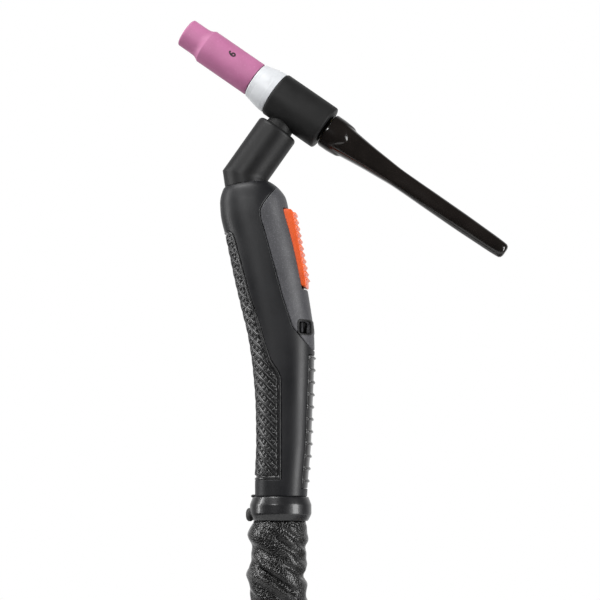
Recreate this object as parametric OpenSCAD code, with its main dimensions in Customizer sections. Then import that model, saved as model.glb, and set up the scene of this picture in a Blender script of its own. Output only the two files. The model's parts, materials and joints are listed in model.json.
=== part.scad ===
// TIG welding torch: swivelling head and elbow neck on a two-shell pistol handle,
// with a leather-covered hose package that lies coiled below the held torch.
// The origin is where the palm holds the handle, +Z up the handle, +X the trigger side.

/* [Head] */
// Outer diameter of the moulded head
head_d = 26; // [24:0.5:34]
// Length of the moulded head in front of its swivel stub
head_front = 12.9; // [11:0.1:18]
// Length of the moulded head behind its swivel stub
head_rear = 21.4; // [14:0.1:30]
// Outer diameter of the brass body inside the head
core_d = 16.4; // [15:0.1:20]
// Diameter of the threads that take the collet body and the back cap
thread_d = 10.4; // [9:0.1:12]
// Diameter of the moulded swivel stub
stub_d = 16; // [14.5:0.1:18]
// Diameter of the brass swivel stem
stem_d = 12; // [10:0.1:13]

/* [Nozzle and electrode] */
// Length of the ceramic nozzle
nozzle_len = 47.6; // [30:0.1:76]
// Outer diameter of the ceramic nozzle
nozzle_d = 20; // [19:0.1:26]
// Outer diameter of the nozzle mouth
mouth_d = 16.6; // [14:0.1:18.5]
// Gas orifice diameter of the nozzle
orifice_d = 9.8; // [6.4:0.1:12]
// Length of the white gasket between the head and the nozzle
gasket_len = 13.5; // [8:0.1:18]
// Largest diameter of the white gasket
gasket_d = 25; // [22:0.1:26]
// Diameter of the tungsten electrode
electrode_d = 2.4; // [1:0.1:4]
// Length of the tungsten electrode
electrode_len = 148; // [75:1:150]
// How far the electrode tip is drawn back behind the nozzle mouth
tip_back = 16.5; // [15.5:0.5:20]

/* [Back cap] */
// Length of the back cap behind the head
cap_len = 120.4; // [60:0.1:150]
// Diameter of the back cap at the head
cap_d = 20; // [18:0.1:24]
// Diameter of the back cap at its end
cap_end_d = 8.8; // [7:0.1:12]
// Diameter of the back cap's slim part where it begins
cap_slim_d = 12; // [11:0.1:14]

/* [Neck] */
// Outer diameter of the elbow neck
neck_d = 24; // [23:0.5:30]
// Wall of the elbow neck
neck_wall = 3.7; // [2:0.1:4.5]
// Length of the neck from its bend to its upper rim
neck_len = 32.5; // [30:0.1:50]
// Bend of the elbow
neck_bend = 43.8; // [20:0.1:60]
// Backward lean of the lower swivel axis
neck_lean = 8.5; // [0:0.5:15]
// Gap between the neck rim and the head
head_gap = 2; // [1:0.1:4]

/* [Handle] */
// Distance from the palm origin up to the neck rim of the handle
handle_up = 86.8; // [80:0.1:100]
// Distance from the palm origin down to the foot of the handle
handle_down = 86.7; // [80:0.1:110]
// Greatest width of the handle
handle_w = 34; // [33:0.5:44]
// Wall of the handle shells
shell_wall = 3.4; // [3:0.1:4]
// Thickness of the rubber inlays
inlay_t = 1.8; // [1:0.1:2]
// Joint gap between the covers of the handle
cover_gap = 0.25; // [0.1:0.05:0.5]
// Width of the flat front with the trigger and the rib strip
front_w = 19; // [16:0.5:21]
// Height of the cross ribs on the front strip
rib_h = 1.2; // [0.6:0.1:2]
// Distance between the cross ribs
rib_pitch = 6.8; // [4:0.1:10]
// Diameter of the collar at the foot of the handle
collar_d = 34; // [32:0.5:44]
// Length of the collar
collar_len = 13.4; // [10:0.1:20]

/* [Trigger] */
// Clearance around the trigger in its slot
trigger_gap = 0.3; // [0.2:0.05:0.5]
// Depth of the trigger body behind its front
trigger_depth = 7.2; // [6:0.1:7.5]
// Radius of the grip ridges on the trigger
ridge_r = 1.1; // [0.6:0.1:1.5]
// Number of grip ridges on the trigger
ridges = 10; // [6:1:14]
// Diameter of the trigger's pivot pin
pivot_d = 3; // [2:0.1:3.4]

/* [Hose package] */
// Outer diameter of the leather sleeve
sleeve_d = 30; // [26:1:31]
// Diameter of the hose that is not covered by leather
hose_d = 18; // [16:0.5:19]
// Diameter of the hose inside the handle
inner_hose_d = 12; // [8:0.5:13]
// Layers of hose in the stored coil
coil_layers = 2; // [1:1:2]

/* [Hidden] */
$fn = 64;
run_gap = 0.05;          // radial clearance of a running fit
slip_gap = 0.3;          // radial clearance of pieces that pass each other
rim_to_bend = 5.2;
rim = [-18.9, 0, handle_up];
washer_t = 0.4;
neck_bore_d = neck_d - 2 * neck_wall;
head_reach = neck_len + head_gap + head_d / 2;
stub_in = 2.7;
socket_top = neck_len - stub_in - slip_gap;
socket_len = 15;
stem_end = head_reach - socket_top + socket_len + 3;
spigot_d = neck_bore_d - 2 * run_gap;
bore_r = neck_bore_d / 2 + 1.9;  // bore of the handle's neck bearing
nose_d = 10;
gasket_gap = 0.4;
gasket_rear = -head_front - 0.1;
nozzle_rear = gasket_rear - gasket_len - gasket_gap;
nozzle_tip = nozzle_rear - nozzle_len;
cap_base = head_rear + 1.6;
black = [0.13, 0.13, 0.13];
brass = [0.80, 0.62, 0.30];
copper = [0.78, 0.45, 0.30];
rubber = [0.10, 0.10, 0.11];
grey = [0.30, 0.30, 0.32];
steel = [0.72, 0.73, 0.75];

// ---- frames of the two swivel axes and of the electrode ----
module at_rim() translate(rim) rotate([0, -neck_lean, 0]) children();
module at_bend() at_rim() translate([0, 0, rim_to_bend]) children();
module at_upper() at_bend() rotate([0, neck_bend, 0]) children();
module at_head() at_upper() translate([0, 0, head_reach]) rotate([0, 90, 0]) children();

// a ring turned about Z between two heights
module ring(r_in, r_out, z0, z1) translate([0, 0, z0]) difference() {
    cylinder(r = r_out, h = z1 - z0);
    translate([0, 0, -1]) cylinder(r = r_in, h = z1 - z0 + 2);
}

// ---- head ----
module head_body() color(black) at_head() difference() {
    union() {
        rotate_extrude() polygon([
            [0, -head_front], [head_d / 2 - 1, -head_front], [head_d / 2, -head_front + 1],
            [head_d / 2, head_rear - 2], [head_d / 2 - 2, head_rear], [0, head_rear]
        ]);
        rotate([0, 90, 0]) cylinder(d = stub_d, h = head_d / 2 + head_gap + stub_in);
    }
    translate([0, 0, -head_front - 1]) cylinder(d = core_d + 2 * run_gap, h = head_front + head_rear + 2);
    rotate([0, 90, 0]) cylinder(d = stem_d + 2 * run_gap, h = head_reach);
}

module head_core() color(brass) at_head() difference() {
    ring(thread_d / 2 + run_gap, core_d / 2, -head_front, head_rear - 1.5);
    rotate([0, 90, 0]) cylinder(d = stem_d - 5, h = core_d);
}

module swivel_stem() color(brass) at_head() difference() {
    rotate([0, 90, 0]) cylinder(d = stem_d, h = stem_end);
    rotate([0, 90, 0]) translate([0, 0, -1]) cylinder(d = stem_d - 5, h = stem_end + 2);
    translate([0, 0, -head_front]) cylinder(d = core_d + run_gap, h = head_front + head_rear);
    rotate([0, 90, 0]) ring(stem_d / 2 - 1.2, stem_d, stem_end - 8, stem_end - 6.7);
    rotate([0, 90, 0]) ring(stem_d / 2 - 0.8, stem_d, stem_end - 2.4, stem_end - 1.2);
}

module stem_o_ring() color(rubber) at_head() rotate([0, 90, 0]) translate([0, 0, stem_end - 7.35])
    rotate_extrude() translate([stem_d / 2 - 0.6, 0]) circle(r = 0.6, $fn = 24);

module stem_clip() color(steel) at_head() rotate([0, 90, 0])
    ring(stem_d / 2 - 0.8 + run_gap, stem_d / 2 + 1.4, stem_end - 2.3, stem_end - 1.3);

module cup_gasket() color("white") at_head() rotate_extrude() polygon([
    [7.4, gasket_rear], [gasket_d / 2 - 0.5, gasket_rear], [gasket_d / 2, gasket_rear - 0.6],
    [gasket_d / 2 - 0.1, gasket_rear - 3], [gasket_d / 2 - 0.6, gasket_rear - 6],
    [gasket_d / 2 - 1.3, gasket_rear - 9], [gasket_d / 2 - 2.1, gasket_rear - gasket_len + 1],
    [gasket_d / 2 - 2.5, gasket_rear - gasket_len], [7.4, gasket_rear - gasket_len]
]);

module nozzle() color([0.78, 0.51, 0.67]) at_head() rotate_extrude() polygon([
    [7.0, nozzle_rear], [nozzle_d / 2 - 0.6, nozzle_rear], [nozzle_d / 2, nozzle_rear - 0.6],
    [nozzle_d / 2, nozzle_tip + 14], [nozzle_d / 2 - 0.7, nozzle_tip + 12.2],
    [mouth_d / 2 + 0.35, nozzle_tip + 10.6], [mouth_d / 2, nozzle_tip + 8.8],
    [mouth_d / 2, nozzle_tip + 0.5], [mouth_d / 2 - 0.5, nozzle_tip],
    [orifice_d / 2, nozzle_tip], [orifice_d / 2, nozzle_tip + 15],
    [7.0, nozzle_tip + 19], [7.0, nozzle_rear]
]);

module collet_body() color(copper) at_head() difference() {
    union() {
        translate([0, 0, -head_front - 1]) cylinder(d = thread_d, h = 11);
        translate([0, 0, nozzle_rear - 6]) cylinder(r = 6.9, h = -head_front - nozzle_rear + 6 - 0.05);
        translate([0, 0, nozzle_rear - 20]) cylinder(r = 4.6, h = 16);
    }
    translate([0, 0, nozzle_rear - 21]) cylinder(r = 2.8, h = 60);
    for (a = [0:90:270])
        rotate([0, 0, a]) translate([0, 0, nozzle_rear - 13]) rotate([0, 90, 0]) cylinder(d = 2, h = 8);
}

module collet() color(copper) at_head() difference() {
    ring(electrode_d / 2 + run_gap, 2.75, nozzle_rear - 19, -4);
    for (a = [0, 90])
        rotate([0, 0, a]) translate([-4, -0.3, nozzle_rear - 20]) cube([8, 0.6, 18]);
}

module electrode() color(grey) at_head() translate([0, 0, nozzle_tip + tip_back])
    cylinder(d = electrode_d, h = electrode_len);

module back_cap() color([0.06, 0.05, 0.05]) at_head() translate([0, 0, cap_base]) rotate_extrude() polygon([
    [2.2, -11], [thread_d / 2, -11], [thread_d / 2, -0.1], [cap_d / 2 - 0.8, 0], [cap_d / 2, 0.8],
    [cap_d / 2, 5], [cap_d / 2 - 1.1, 15], [cap_slim_d / 2 + 1.5, 29], [cap_slim_d / 2 + 0.7, 38],
    [cap_slim_d / 2, 48], [cap_end_d / 2 + 1, cap_len * 0.72], [cap_end_d / 2, cap_len - 1],
    [cap_end_d / 2 - 1, cap_len], [0, cap_len], [0, cap_len - 6], [2.2, cap_len - 8]
]);

module cap_o_ring() color(rubber) at_head() translate([0, 0, head_rear + 0.75])
    rotate_extrude() translate([thread_d / 2 + 1.0, 0]) circle(r = 0.7, $fn = 24);

// ---- neck ----
module beyond_mitre(side) rotate([0, neck_bend / 2, 0]) translate([-50, -50, side > 0 ? 0 : -100]) cube(100);

// the two straight legs meet in a mitre, so the elbow is hollow right through its bend
module neck_elbow() color(black) at_bend() {
    intersection() {
        rotate([0, neck_bend, 0]) translate([0, 0, -20]) rotate_extrude() polygon([
            [neck_bore_d / 2, 0], [neck_d / 2, 0], [neck_d / 2, neck_len + 18.2],
            [neck_d / 2 - 0.6, neck_len + 19.4], [neck_d / 2 - 1.8, neck_len + 20], [neck_bore_d / 2, neck_len + 20]
        ]);
        beyond_mitre(1);
    }
    intersection() {
        ring(neck_bore_d / 2, neck_d / 2, washer_t - rim_to_bend, 20);
        beyond_mitre(-1);
    }
}

module head_socket() color(brass) at_upper()
    ring(stem_d / 2 + run_gap, neck_bore_d / 2 - run_gap, socket_top - socket_len, socket_top);

module neck_spigot() color(brass) at_bend() difference() {
    union() {
        translate([0, 0, -36]) cylinder(d = spigot_d, h = 36);
        translate([0, 0, -48]) cylinder(d = nose_d, h = 14);
    }
    translate([0, 0, -49]) cylinder(d = 5, h = 50);
    ring(spigot_d / 2 - 1.2, spigot_d, -16, -14.7);
    ring(spigot_d / 2 - 0.8, spigot_d, -33, -31.8);
    rotate([0, neck_bend, 0]) cylinder(d = 8, h = 40);
}

module neck_o_ring() color(rubber) at_bend() translate([0, 0, -15.35])
    rotate_extrude() translate([spigot_d / 2 - 0.6, 0]) circle(r = 0.6, $fn = 24);

module neck_clip() color(steel) at_bend() ring(spigot_d / 2 - 0.8 + run_gap, spigot_d / 2 + 1.2, -32.9, -31.9);

module neck_washer() color(grey) at_rim() ring(neck_bore_d / 2 + slip_gap, neck_d / 2 - 0.6, 0, washer_t);

// ---- handle: one outline of oval sections, from the rim down to the foot ----
// each row: height and middle, half depth, half width as a share of the greatest, tilt
up = handle_up / 86.8;
down = handle_down / 86.7;
SECTIONS = [
    [rim[2], rim[0], neck_d / 2 + 0.6, (neck_d / 2 + 0.92) / (handle_w / 2), neck_lean],
    [84.8 * up, -17.8, 14.6, 0.86, 8], [81.6 * up, -16.5, 16.8, 0.93, 7],
    [77.4 * up, -15.2, 18.4, 0.98, 6], [70 * up, -14, 19, 1, 4.5], [57 * up, -10.6, 19.4, 1, 2],
    [37 * up, -6.2, 19.7, 0.99, 0], [18.5 * up, -2.4, 19.2, 0.97, 0], [0, 0.9, 18.1, 0.95, 0],
    [-16 * down, 2, 16.9, 0.93, 0], [-36 * down, 2.4, 15.7, 0.9, 0], [-56 * down, 2.2, 15.1, 0.88, 0],
    [-78 * down, 0.9, 14.6, 0.86, 0], [-handle_down, 0.6, 14.3, 0.84, 0]
];
function oval(a, b, n = 28) = [for (i = [0:n - 1]) let(t = 360 * i / n, c = cos(t), s = sin(t))
    [a * sign(c) * pow(abs(c), 0.82), b * sign(s) * pow(abs(s), 0.82)]];

function section_ring(s, grow) = [for (p = oval(s[2] + grow, handle_w / 2 * s[3] + grow))
    [s[1] + p[0] * cos(s[4]), p[1], s[0] + p[0] * sin(s[4])]];

// a loft through the sections, top to foot
module handle_solid(grow = 0, first = 0) {
    rings = [for (i = [first:len(SECTIONS) - 1]) section_ring(SECTIONS[i], grow)];
    n = len(rings[0]);
    last = len(rings) - 1;
    walls = [for (i = [0:last - 1], k = [0:n - 1]) let(a = i * n + k, c = i * n + (k + 1) % n)
        for (f = [[a, c, c + n], [a, c + n, a + n]]) f];
    polyhedron([for (r = rings) each r],
        concat(walls, [[for (k = [n - 1:-1:0]) k]], [[for (k = [0:n - 1]) last * n + k]]));
}

module side_prism(points, half = 40) rotate([90, 0, 0]) translate([0, 0, -half])
    linear_extrude(2 * half) polygon(points);

MODULE_SEAM = [[-1.8, 90], [-1.8, 83.2], [-5.4, 77.9], [-8.1, 74.1], [-9.6, 70.7], [-9, 65.6], [-6, 55.6],
    [3.2, 22.2], [6.4, 12.4], [8.3, 6.3], [16.6, -3.5], [30, -16], [40, 90]];
GRIP_EDGE = [[-60, 60], [-28.1, 60], [-25.2, 58], [-24.1, 55], [-15.3, 22.2], [-11.2, 11.7], [-6.9, -3.3],
    [-4, -12], [0, -18], [1.7, -22], [1.7, -77.6], [-60, -77.6]];
strip_top = -9;
strip_bottom = -82;
slot_top = 72.9;
slot_bottom = 27.6;
latch = [14.7, 6.1];
window = [5.8, 6.9];

module front_region(gap = 0) translate([0, -front_w / 2 - gap, strip_bottom - gap])
    cube([40, front_w + 2 * gap, strip_top - strip_bottom + 2 * gap]);

SCREWS = [[-24, 50], [12.2, -20], [-8.5, -70]];

module shell_half(side) intersection() {
    difference() {
        union() {
            difference() {
                handle_solid();
                handle_solid(-shell_wall, 1);
            }
            at_rim() ring(bore_r, bore_r + 2.6, -28, -3);
            for (p = SCREWS) intersection() {
                translate([p[0], 20, p[1]]) rotate([90, 0, 0]) cylinder(r = 2.6, h = 40, $fn = 24);
                handle_solid(-0.5);
            }
            translate([0.6, 0, -handle_down - collar_len + 1]) cylinder(r = 13.2, h = collar_len + 3);
        }
        at_rim() translate([0, 0, -29]) cylinder(r = bore_r, h = 40);
        at_rim() translate([0, 0, -42]) cylinder(r = bore_r, h = 13.5);
        translate([0.6, 0, -handle_down - collar_len]) cylinder(r = 11.4, h = collar_len + 6);
        side_prism([for (p = MODULE_SEAM) p - [cover_gap, 0]]);
        intersection() {
            difference() {
                handle_solid(1);
                handle_solid(-inlay_t - run_gap);
            }
            side_prism([for (p = GRIP_EDGE) p + [cover_gap, 0]]);
        }
        intersection() {
            difference() {
                handle_solid(1);
                handle_solid(-inlay_t - run_gap);
            }
            front_region(cover_gap);
        }
        for (p = SCREWS) {
            translate([p[0], 20, p[1]]) rotate([90, 0, 0]) cylinder(r = 1.55, h = 40, $fn = 24);
            screw_recess(p);
        }
    }
    translate([-60, side > 0 ? run_gap : -60, -handle_down - collar_len - 1]) cube([120, 60 - run_gap, 260]);
}

module handle_shell_near() color(black) shell_half(-1);
module handle_shell_far() color(black) shell_half(1);

module handle_screws() color(steel) for (p = SCREWS) translate([p[0], 0, p[1]]) rotate([-90, 0, 0]) {
    translate([0, 0, -screw_reach]) cylinder(r = 1.5, h = screw_head_y + screw_reach + 0.2);
    difference() {
        translate([0, 0, screw_head_y + run_gap]) cylinder(r = screw_head_r, h = 1.6);
        translate([0, 0, screw_head_y + 0.8]) cylinder(r = 1.1, h = 2, $fn = 6);
    }
}

module control_module() color(grey) difference() {
    intersection() {
        difference() {
            handle_solid();
            handle_solid(-2.4);
        }
        side_prism(MODULE_SEAM);
    }
    translate([-2, -front_w / 2, slot_bottom]) cube([40, front_w, slot_top - slot_bottom]);
    for (s = [-1, 1]) translate([latch[0] - window[0] / 2, s > 0 ? 5.2 : -25.2, latch[1] - window[1] / 2])
        cube([window[0], 20, window[1]]);
    at_rim() translate([0, 0, -29]) cylinder(r = bore_r + 2.6 + cover_gap, h = 60);
    translate([pivot[0], 20, pivot[1]]) rotate([90, 0, 0]) cylinder(d = pivot_d + 2 * run_gap, h = 40);
}

clip_half = handle_w / 2 - 8;
module latch_clip() color(steel) {
    translate([10.6, -clip_half, latch[1] - 1]) cube([1.2, 2 * clip_half, 2]);
    for (s = [-1, 1]) translate([12.2, (clip_half - 0.4) * s, latch[1] - 2.6]) cylinder(r = 1.6, h = 5.2);
}

// recess for a screw head, from the far side
screw_head_y = 7;
screw_head_r = 2.3;
// how far a screw passes the middle plane
screw_reach = 6;
module screw_recess(p) translate([p[0], screw_head_y, p[1]]) rotate([-90, 0, 0])
    cylinder(r = screw_head_r + 0.2, h = 20, $fn = 24);

module grip_inlay() color(rubber) intersection() {
    difference() {
        handle_solid();
        handle_solid(-inlay_t);
        for (p = SCREWS) screw_recess(p);
    }
    side_prism(GRIP_EDGE);
}

module front_strip() color(rubber) intersection() {
    difference() {
        union() {
            handle_solid();
            intersection() {
                handle_solid(rib_h);
                for (i = [0:10]) translate([0, -20, strip_top - 1.7 - i * rib_pitch]) cube([40, 40, 1.4]);
            }
        }
        handle_solid(-inlay_t);
    }
    front_region();
}

// ---- trigger and switch ----
pivot = [0.6, 68.4];
trigger_top = [8.3, 69.8];
trigger_low = [15.2, 33.2];
trigger_w = front_w - 2 * trigger_gap;
switch_z = 47;
function on_front(k) = trigger_top + (trigger_low - trigger_top) * k;

module trigger() color([0.85, 0.32, 0.16]) difference() {
    union() {
        side_prism([
            [pivot[0] - 2.6, pivot[1] - 2.5], [pivot[0] - 2.6, slot_top - 0.6], [6.9, slot_top - 0.6], trigger_top,
            trigger_low, [15.4, slot_bottom + 1.2], [11.8, slot_bottom + 2.8], [trigger_low[0] - 6.6, trigger_low[1] + 2],
            [trigger_top[0] - trigger_depth, trigger_top[1] - 9]
        ], trigger_w / 2);
        for (i = [0:ridges]) let(p = on_front(i / ridges)) translate([p[0] - 0.2, trigger_w / 2, p[1]])
            rotate([90, 0, 0]) cylinder(r = ridge_r, h = trigger_w, $fn = 24);
    }
    translate([pivot[0], 20, pivot[1]]) rotate([90, 0, 0]) cylinder(d = pivot_d + 2 * run_gap, h = 40);
}

module trigger_pin() color(steel) translate([pivot[0], front_w / 2 + 2, pivot[1]]) rotate([90, 0, 0])
    cylinder(d = pivot_d, h = front_w + 4);

carrier_half = handle_w / 2 - 4.4;
module switch_carrier() color(black) {
    translate([-5, -carrier_half, switch_z - 6]) cube([1, 2 * carrier_half, 16]);
    for (s = [-1, 1]) translate([-4.1, s > 0 ? 3 : -4.2, switch_z - 6]) cube([4, 1.2, 12.8]);
}

module micro_switch() color(rubber) difference() {
    translate([-3.95, -2.9, switch_z - 6]) cube([6.2, 5.8, 12.8]);
    translate([-1.5, 0, switch_z]) rotate([0, 90, 0]) cylinder(r = 1.1, h = 6);
}

plunger_tip = on_front((trigger_top[1] - switch_z) / (trigger_top[1] - trigger_low[1]))[0] - trigger_depth;
module switch_plunger() color("white") translate([0.2, 0, switch_z]) rotate([0, 90, 0])
    cylinder(r = 1.1 - run_gap, h = plunger_tip - 0.7);

// a tube swept along points, cut square across its path
function sub3(p, q) = [p[0] - q[0], p[1] - q[1], p[2] - q[2]];
function unit(v) = v / norm(v);
function way(pts, i) = unit(pts[min(i + 1, len(pts) - 1)] - pts[max(i - 1, 0)]);
function side_of(d) = unit(abs(d[1]) < 0.9 ? cross(d, [0, 1, 0]) : cross(d, [1, 0, 0]));
function carried(pts, i, s) = unit(s - (s * way(pts, i)) * way(pts, i));
function sides_along(pts, i = 0, s = undef, out = []) = i == len(pts) ? out :
    let(now = i == 0 ? side_of(way(pts, 0)) : carried(pts, i, s)) sides_along(pts, i + 1, now, concat(out, [now]));

module swept(pts, r, n = 10) {
    m = len(pts);
    across = sides_along(pts);
    points = [for (i = [0:m - 1]) let(s = across[i], b = cross(way(pts, i), s))
        for (k = [0:n - 1]) pts[i] + r * (cos(360 * k / n) * s + sin(360 * k / n) * b)];
    walls = [for (i = [0:m - 2], k = [0:n - 1]) let(a = i * n + k, c = i * n + (k + 1) % n)
        for (f = [[a, a + n, c], [c, a + n, c + n]]) f];
    polyhedron(points, concat(walls, [[for (k = [0:n - 1]) k]], [[for (k = [n - 1:-1:0]) (m - 1) * n + k]]));
}

// ---- power block, hose and leads inside the handle ----
module power_block() color(brass) at_bend() difference() {
    union() {
        translate([0, 0, -52]) cylinder(r = 7, h = 15.5);
        translate([0, 0, -62]) cylinder(r = 3.5, h = 11);
    }
    translate([0, 0, -49]) cylinder(d = nose_d + 2 * run_gap, h = 20);
    translate([0, 0, -63]) cylinder(r = 2, h = 20);
}

module neck_bush() color(brass) at_rim() difference() {
    ring(neck_bore_d / 2, bore_r - run_gap, -26, -2);
}

hose_axis = [sin(neck_lean), 0, -cos(neck_lean)];
bend_point = rim - rim_to_bend * hose_axis;
hose_start = bend_point + 62.1 * hose_axis;
INNER_ROUTE = [hose_start, hose_start + 6 * hose_axis, [-7, 0, 14], [-4, 0, -4], [-2, 0, -22], [-0.4, 0, -42],
    [0.6, 0, -62], [0.6, 0, -handle_down], [0.6, 0, -handle_down - collar_len]];
module inner_hose() color(rubber) swept(INNER_ROUTE, inner_hose_d / 2, 12);

module hose_ferrule() color(copper) at_bend()
    ring(inner_hose_d / 2 + 0.1, inner_hose_d / 2 + 1.1, -69, -52.2);

LEAD_ROUTE = [[-1, 0, 40.6], [1, 0, 32], [4.2, 0, 18], [6.4, 0, 0], [8, 0, -22], [8.6, 0, -44], [8.8, 0, -66],
    [8.8, 0, -handle_down], [8.8, 0, -handle_down - collar_len]];
lead_d = 3;
module switch_lead() color(grey) swept(LEAD_ROUTE, lead_d / 2, 8);

// ---- collar and hose entry ----
module rear_collar() color(black) translate([0.4, 0, -handle_down - 0.3]) difference() {
    rotate_extrude() polygon([
        [0, 0], [collar_d / 2 - 1.4, 0], [collar_d / 2 - 0.3, -3.6], [collar_d / 2, -4], [collar_d / 2, -collar_len + 4],
        [collar_d / 2 - 0.3, -collar_len + 3.8], [collar_d / 2 - 1.9, -collar_len + 0.3], [0, -collar_len + 0.3]
    ]);
    translate([0.2, 0, -collar_len - 1]) cylinder(r = 13.3, h = collar_len + 2);
}

module hose_gland() color(rubber) difference() {
    translate([0.6, 0, -handle_down - collar_len]) cylinder(r = 11.35, h = collar_len - 0.5);
    translate([0.6, 0, -handle_down - collar_len - 1]) cylinder(d = inner_hose_d + 0.1, h = collar_len + 5);
    translate([8.8, 0, -handle_down - collar_len - 1]) cylinder(d = lead_d + 0.1, h = collar_len + 5);
}

module sleeve_tie() color([0.07, 0.06, 0.06]) translate([-collar_d / 2 + 0.4, 0, -handle_down - 9.3])
    rotate([0, 14, 0]) translate([-2.2, -2.5, -3.5]) cube([2.2, 5, 7]);

// ---- hose package below the handle: lies coiled on a floor far below the hand ----
floor_z = -280;
sleeve_top = -handle_down - collar_len;
drop = 120;                      // radius of the bend from hanging to lying
ring_r = 141;                    // radius of the leather sleeve's lying arc
ring_c = [141, 120];             // centre of the lying arc and of the coil
sleeve_end_a = 210;              // angle that the leather sleeve lies through
sleeve_z = floor_z + 15;
function ring_at(a, r, z) = [ring_c[0] - r * cos(a), ring_c[1] + r * sin(a), z];
cuff_len = 40;
cuff_way = [sin(sleeve_end_a), cos(sleeve_end_a), 0];
cuff_at = ring_at(sleeve_end_a, ring_r, sleeve_z) + 3 * cuff_way;
SLEEVE_ROUTE = concat(
    [[0, 0, sleeve_top], [0, 0, -122], [0, 0, sleeve_z + drop]],
    [for (a = [15:15:75]) [0, drop * (1 - cos(a)), sleeve_z + drop * (1 - sin(a))]],
    [for (a = [0:10:sleeve_end_a]) ring_at(a, ring_r, sleeve_z)],
    [cuff_at]
);
module leather_sleeve() color([0.12, 0.12, 0.12]) swept(SLEEVE_ROUTE, sleeve_d / 2, 12);

module along_cuff() translate(cuff_at) rotate([0, 0, 90 - sleeve_end_a]) rotate([0, 90, 0]) children();
module sleeve_cuff() color(rubber) along_cuff() rotate_extrude() polygon([
    [0, 0.1], [sleeve_d / 2 - 0.2, 0.1], [sleeve_d / 2 - 0.2, 8], [hose_d / 2 + 1.5, cuff_len - 4],
    [hose_d / 2 + 0.8, cuff_len], [0, cuff_len]
]);

hose_z = floor_z + hose_d / 2 + 1.5;
coil_r = [115, 97];
HOSE_ROUTE = [cuff_at + (cuff_len + 0.1) * cuff_way, cuff_at + (cuff_len + 5) * cuff_way,
    [223, -9.5, -267.5], [200, -28, -269.5], [171, -40, -269.5],
    [141, -44, -269.5], [110, -40, -269.5], [82, -28, -269.5], [58, -9, -269.5], [39, 15, -269.5],
    [27, 43, -269.5], [23, 74, -269.5], [24, 98, -269.5], [26, 120, -269.5]];
module hose_lead() color(rubber) swept(HOSE_ROUTE, hose_d / 2, 10);

module hose_coil() color(rubber) translate([ring_c[0], ring_c[1], hose_z - hose_d / 2]) rotate_extrude()
    translate([coil_r[1] - hose_d / 2, 0])
        square([coil_r[0] - coil_r[1] + hose_d, hose_d * coil_layers]);

top_z = hose_z - hose_d / 2 + hose_d * coil_layers;
boot_z = top_z + 12.2;
boot_from = 62;
boot_len = 46;
mid_r = 106;
RISE_ROUTE = [ring_at(0, 115, top_z - 9), ring_at(14, 114, top_z - 6), ring_at(30, 111, top_z + 3),
    ring_at(46, 108, top_z + 10.5), ring_at(boot_from, mid_r, boot_z)];
lift_a = 98;                     // how far round the coil the hose leaves it, on top, towards its plugs
module over_coil() translate([ring_c[0], ring_c[1], 0]) rotate([0, 0, -lift_a])
    translate([-ring_c[0], -ring_c[1], 0]) children();
module hose_rise() color(rubber) over_coil() swept(RISE_ROUTE, hose_d / 2, 10);

module on_ring(a, r, z) translate(ring_at(a, r, z)) rotate([0, 0, 90 - a]) rotate([0, 90, 0]) children();
module split_boot() color(rubber) over_coil() on_ring(boot_from, mid_r, boot_z) hull() {
    translate([0, 0, 0.1]) cylinder(d = 22, h = 14, $fn = 32);
    translate([5, -4.5, boot_len - 2]) cylinder(d = 13, h = 2, $fn = 32);
    translate([8, 8, boot_len - 2]) cylinder(d = 8, h = 2, $fn = 32);
}

power_d = 11;
control_d = 5;
boot_way = [sin(boot_from), cos(boot_from), 0];
plug_way = unit([3.1, -9.5, 0]);
power_from = [134, 231.2, top_z + 7.2];
power_to = [224, 190, top_z + 13.2];
POWER_ROUTE = [power_from, power_from + 5 * boot_way, [147.9, 236.6, top_z + 8], [157.8, 237.6, top_z + 8.8],
    [169, 236.5, top_z + 9.6], [180.1, 233.8, top_z + 10.1], [193.2, 228, top_z + 10.5], [206.5, 218, top_z + 11],
    [215.5, 207.3, top_z + 12], [220.3, 199.2, top_z + 12.8], power_to - 4 * plug_way, power_to];
module power_tail() color(rubber) over_coil() swept(POWER_ROUTE, power_d / 2, 10);

module at_plug() over_coil() translate(power_to) rotate([0, 0, atan2(plug_way[1], plug_way[0])]) rotate([0, 90, 0])
    children();
pin_d = 13;
pin_len = 30;
module power_plug_grip() color(rubber) at_plug() rotate_extrude() polygon([
    [0, 0.1], [7.5, 0.1], [8.5, 12], [12.6, 20], [12.9, 46], [11.6, 50], [0, 50]]);
module power_plug_pin() color(brass) at_plug() difference() {
    union() {
        translate([0, 0, 50.05]) cylinder(r = 9, h = 4);
        translate([0, 0, 54]) cylinder(d = pin_d, h = pin_len);
        translate([0, 0, 75]) rotate([0, 90, 0]) cylinder(r = 2, h = 8.6);
    }
    translate([0, 0, 60]) cylinder(r = 2.5, h = 40);
}
module gas_o_ring() color("red") at_plug() ring(pin_d / 2 + 0.05, pin_d / 2 + 1.4, 54.2, 56.6);

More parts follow.
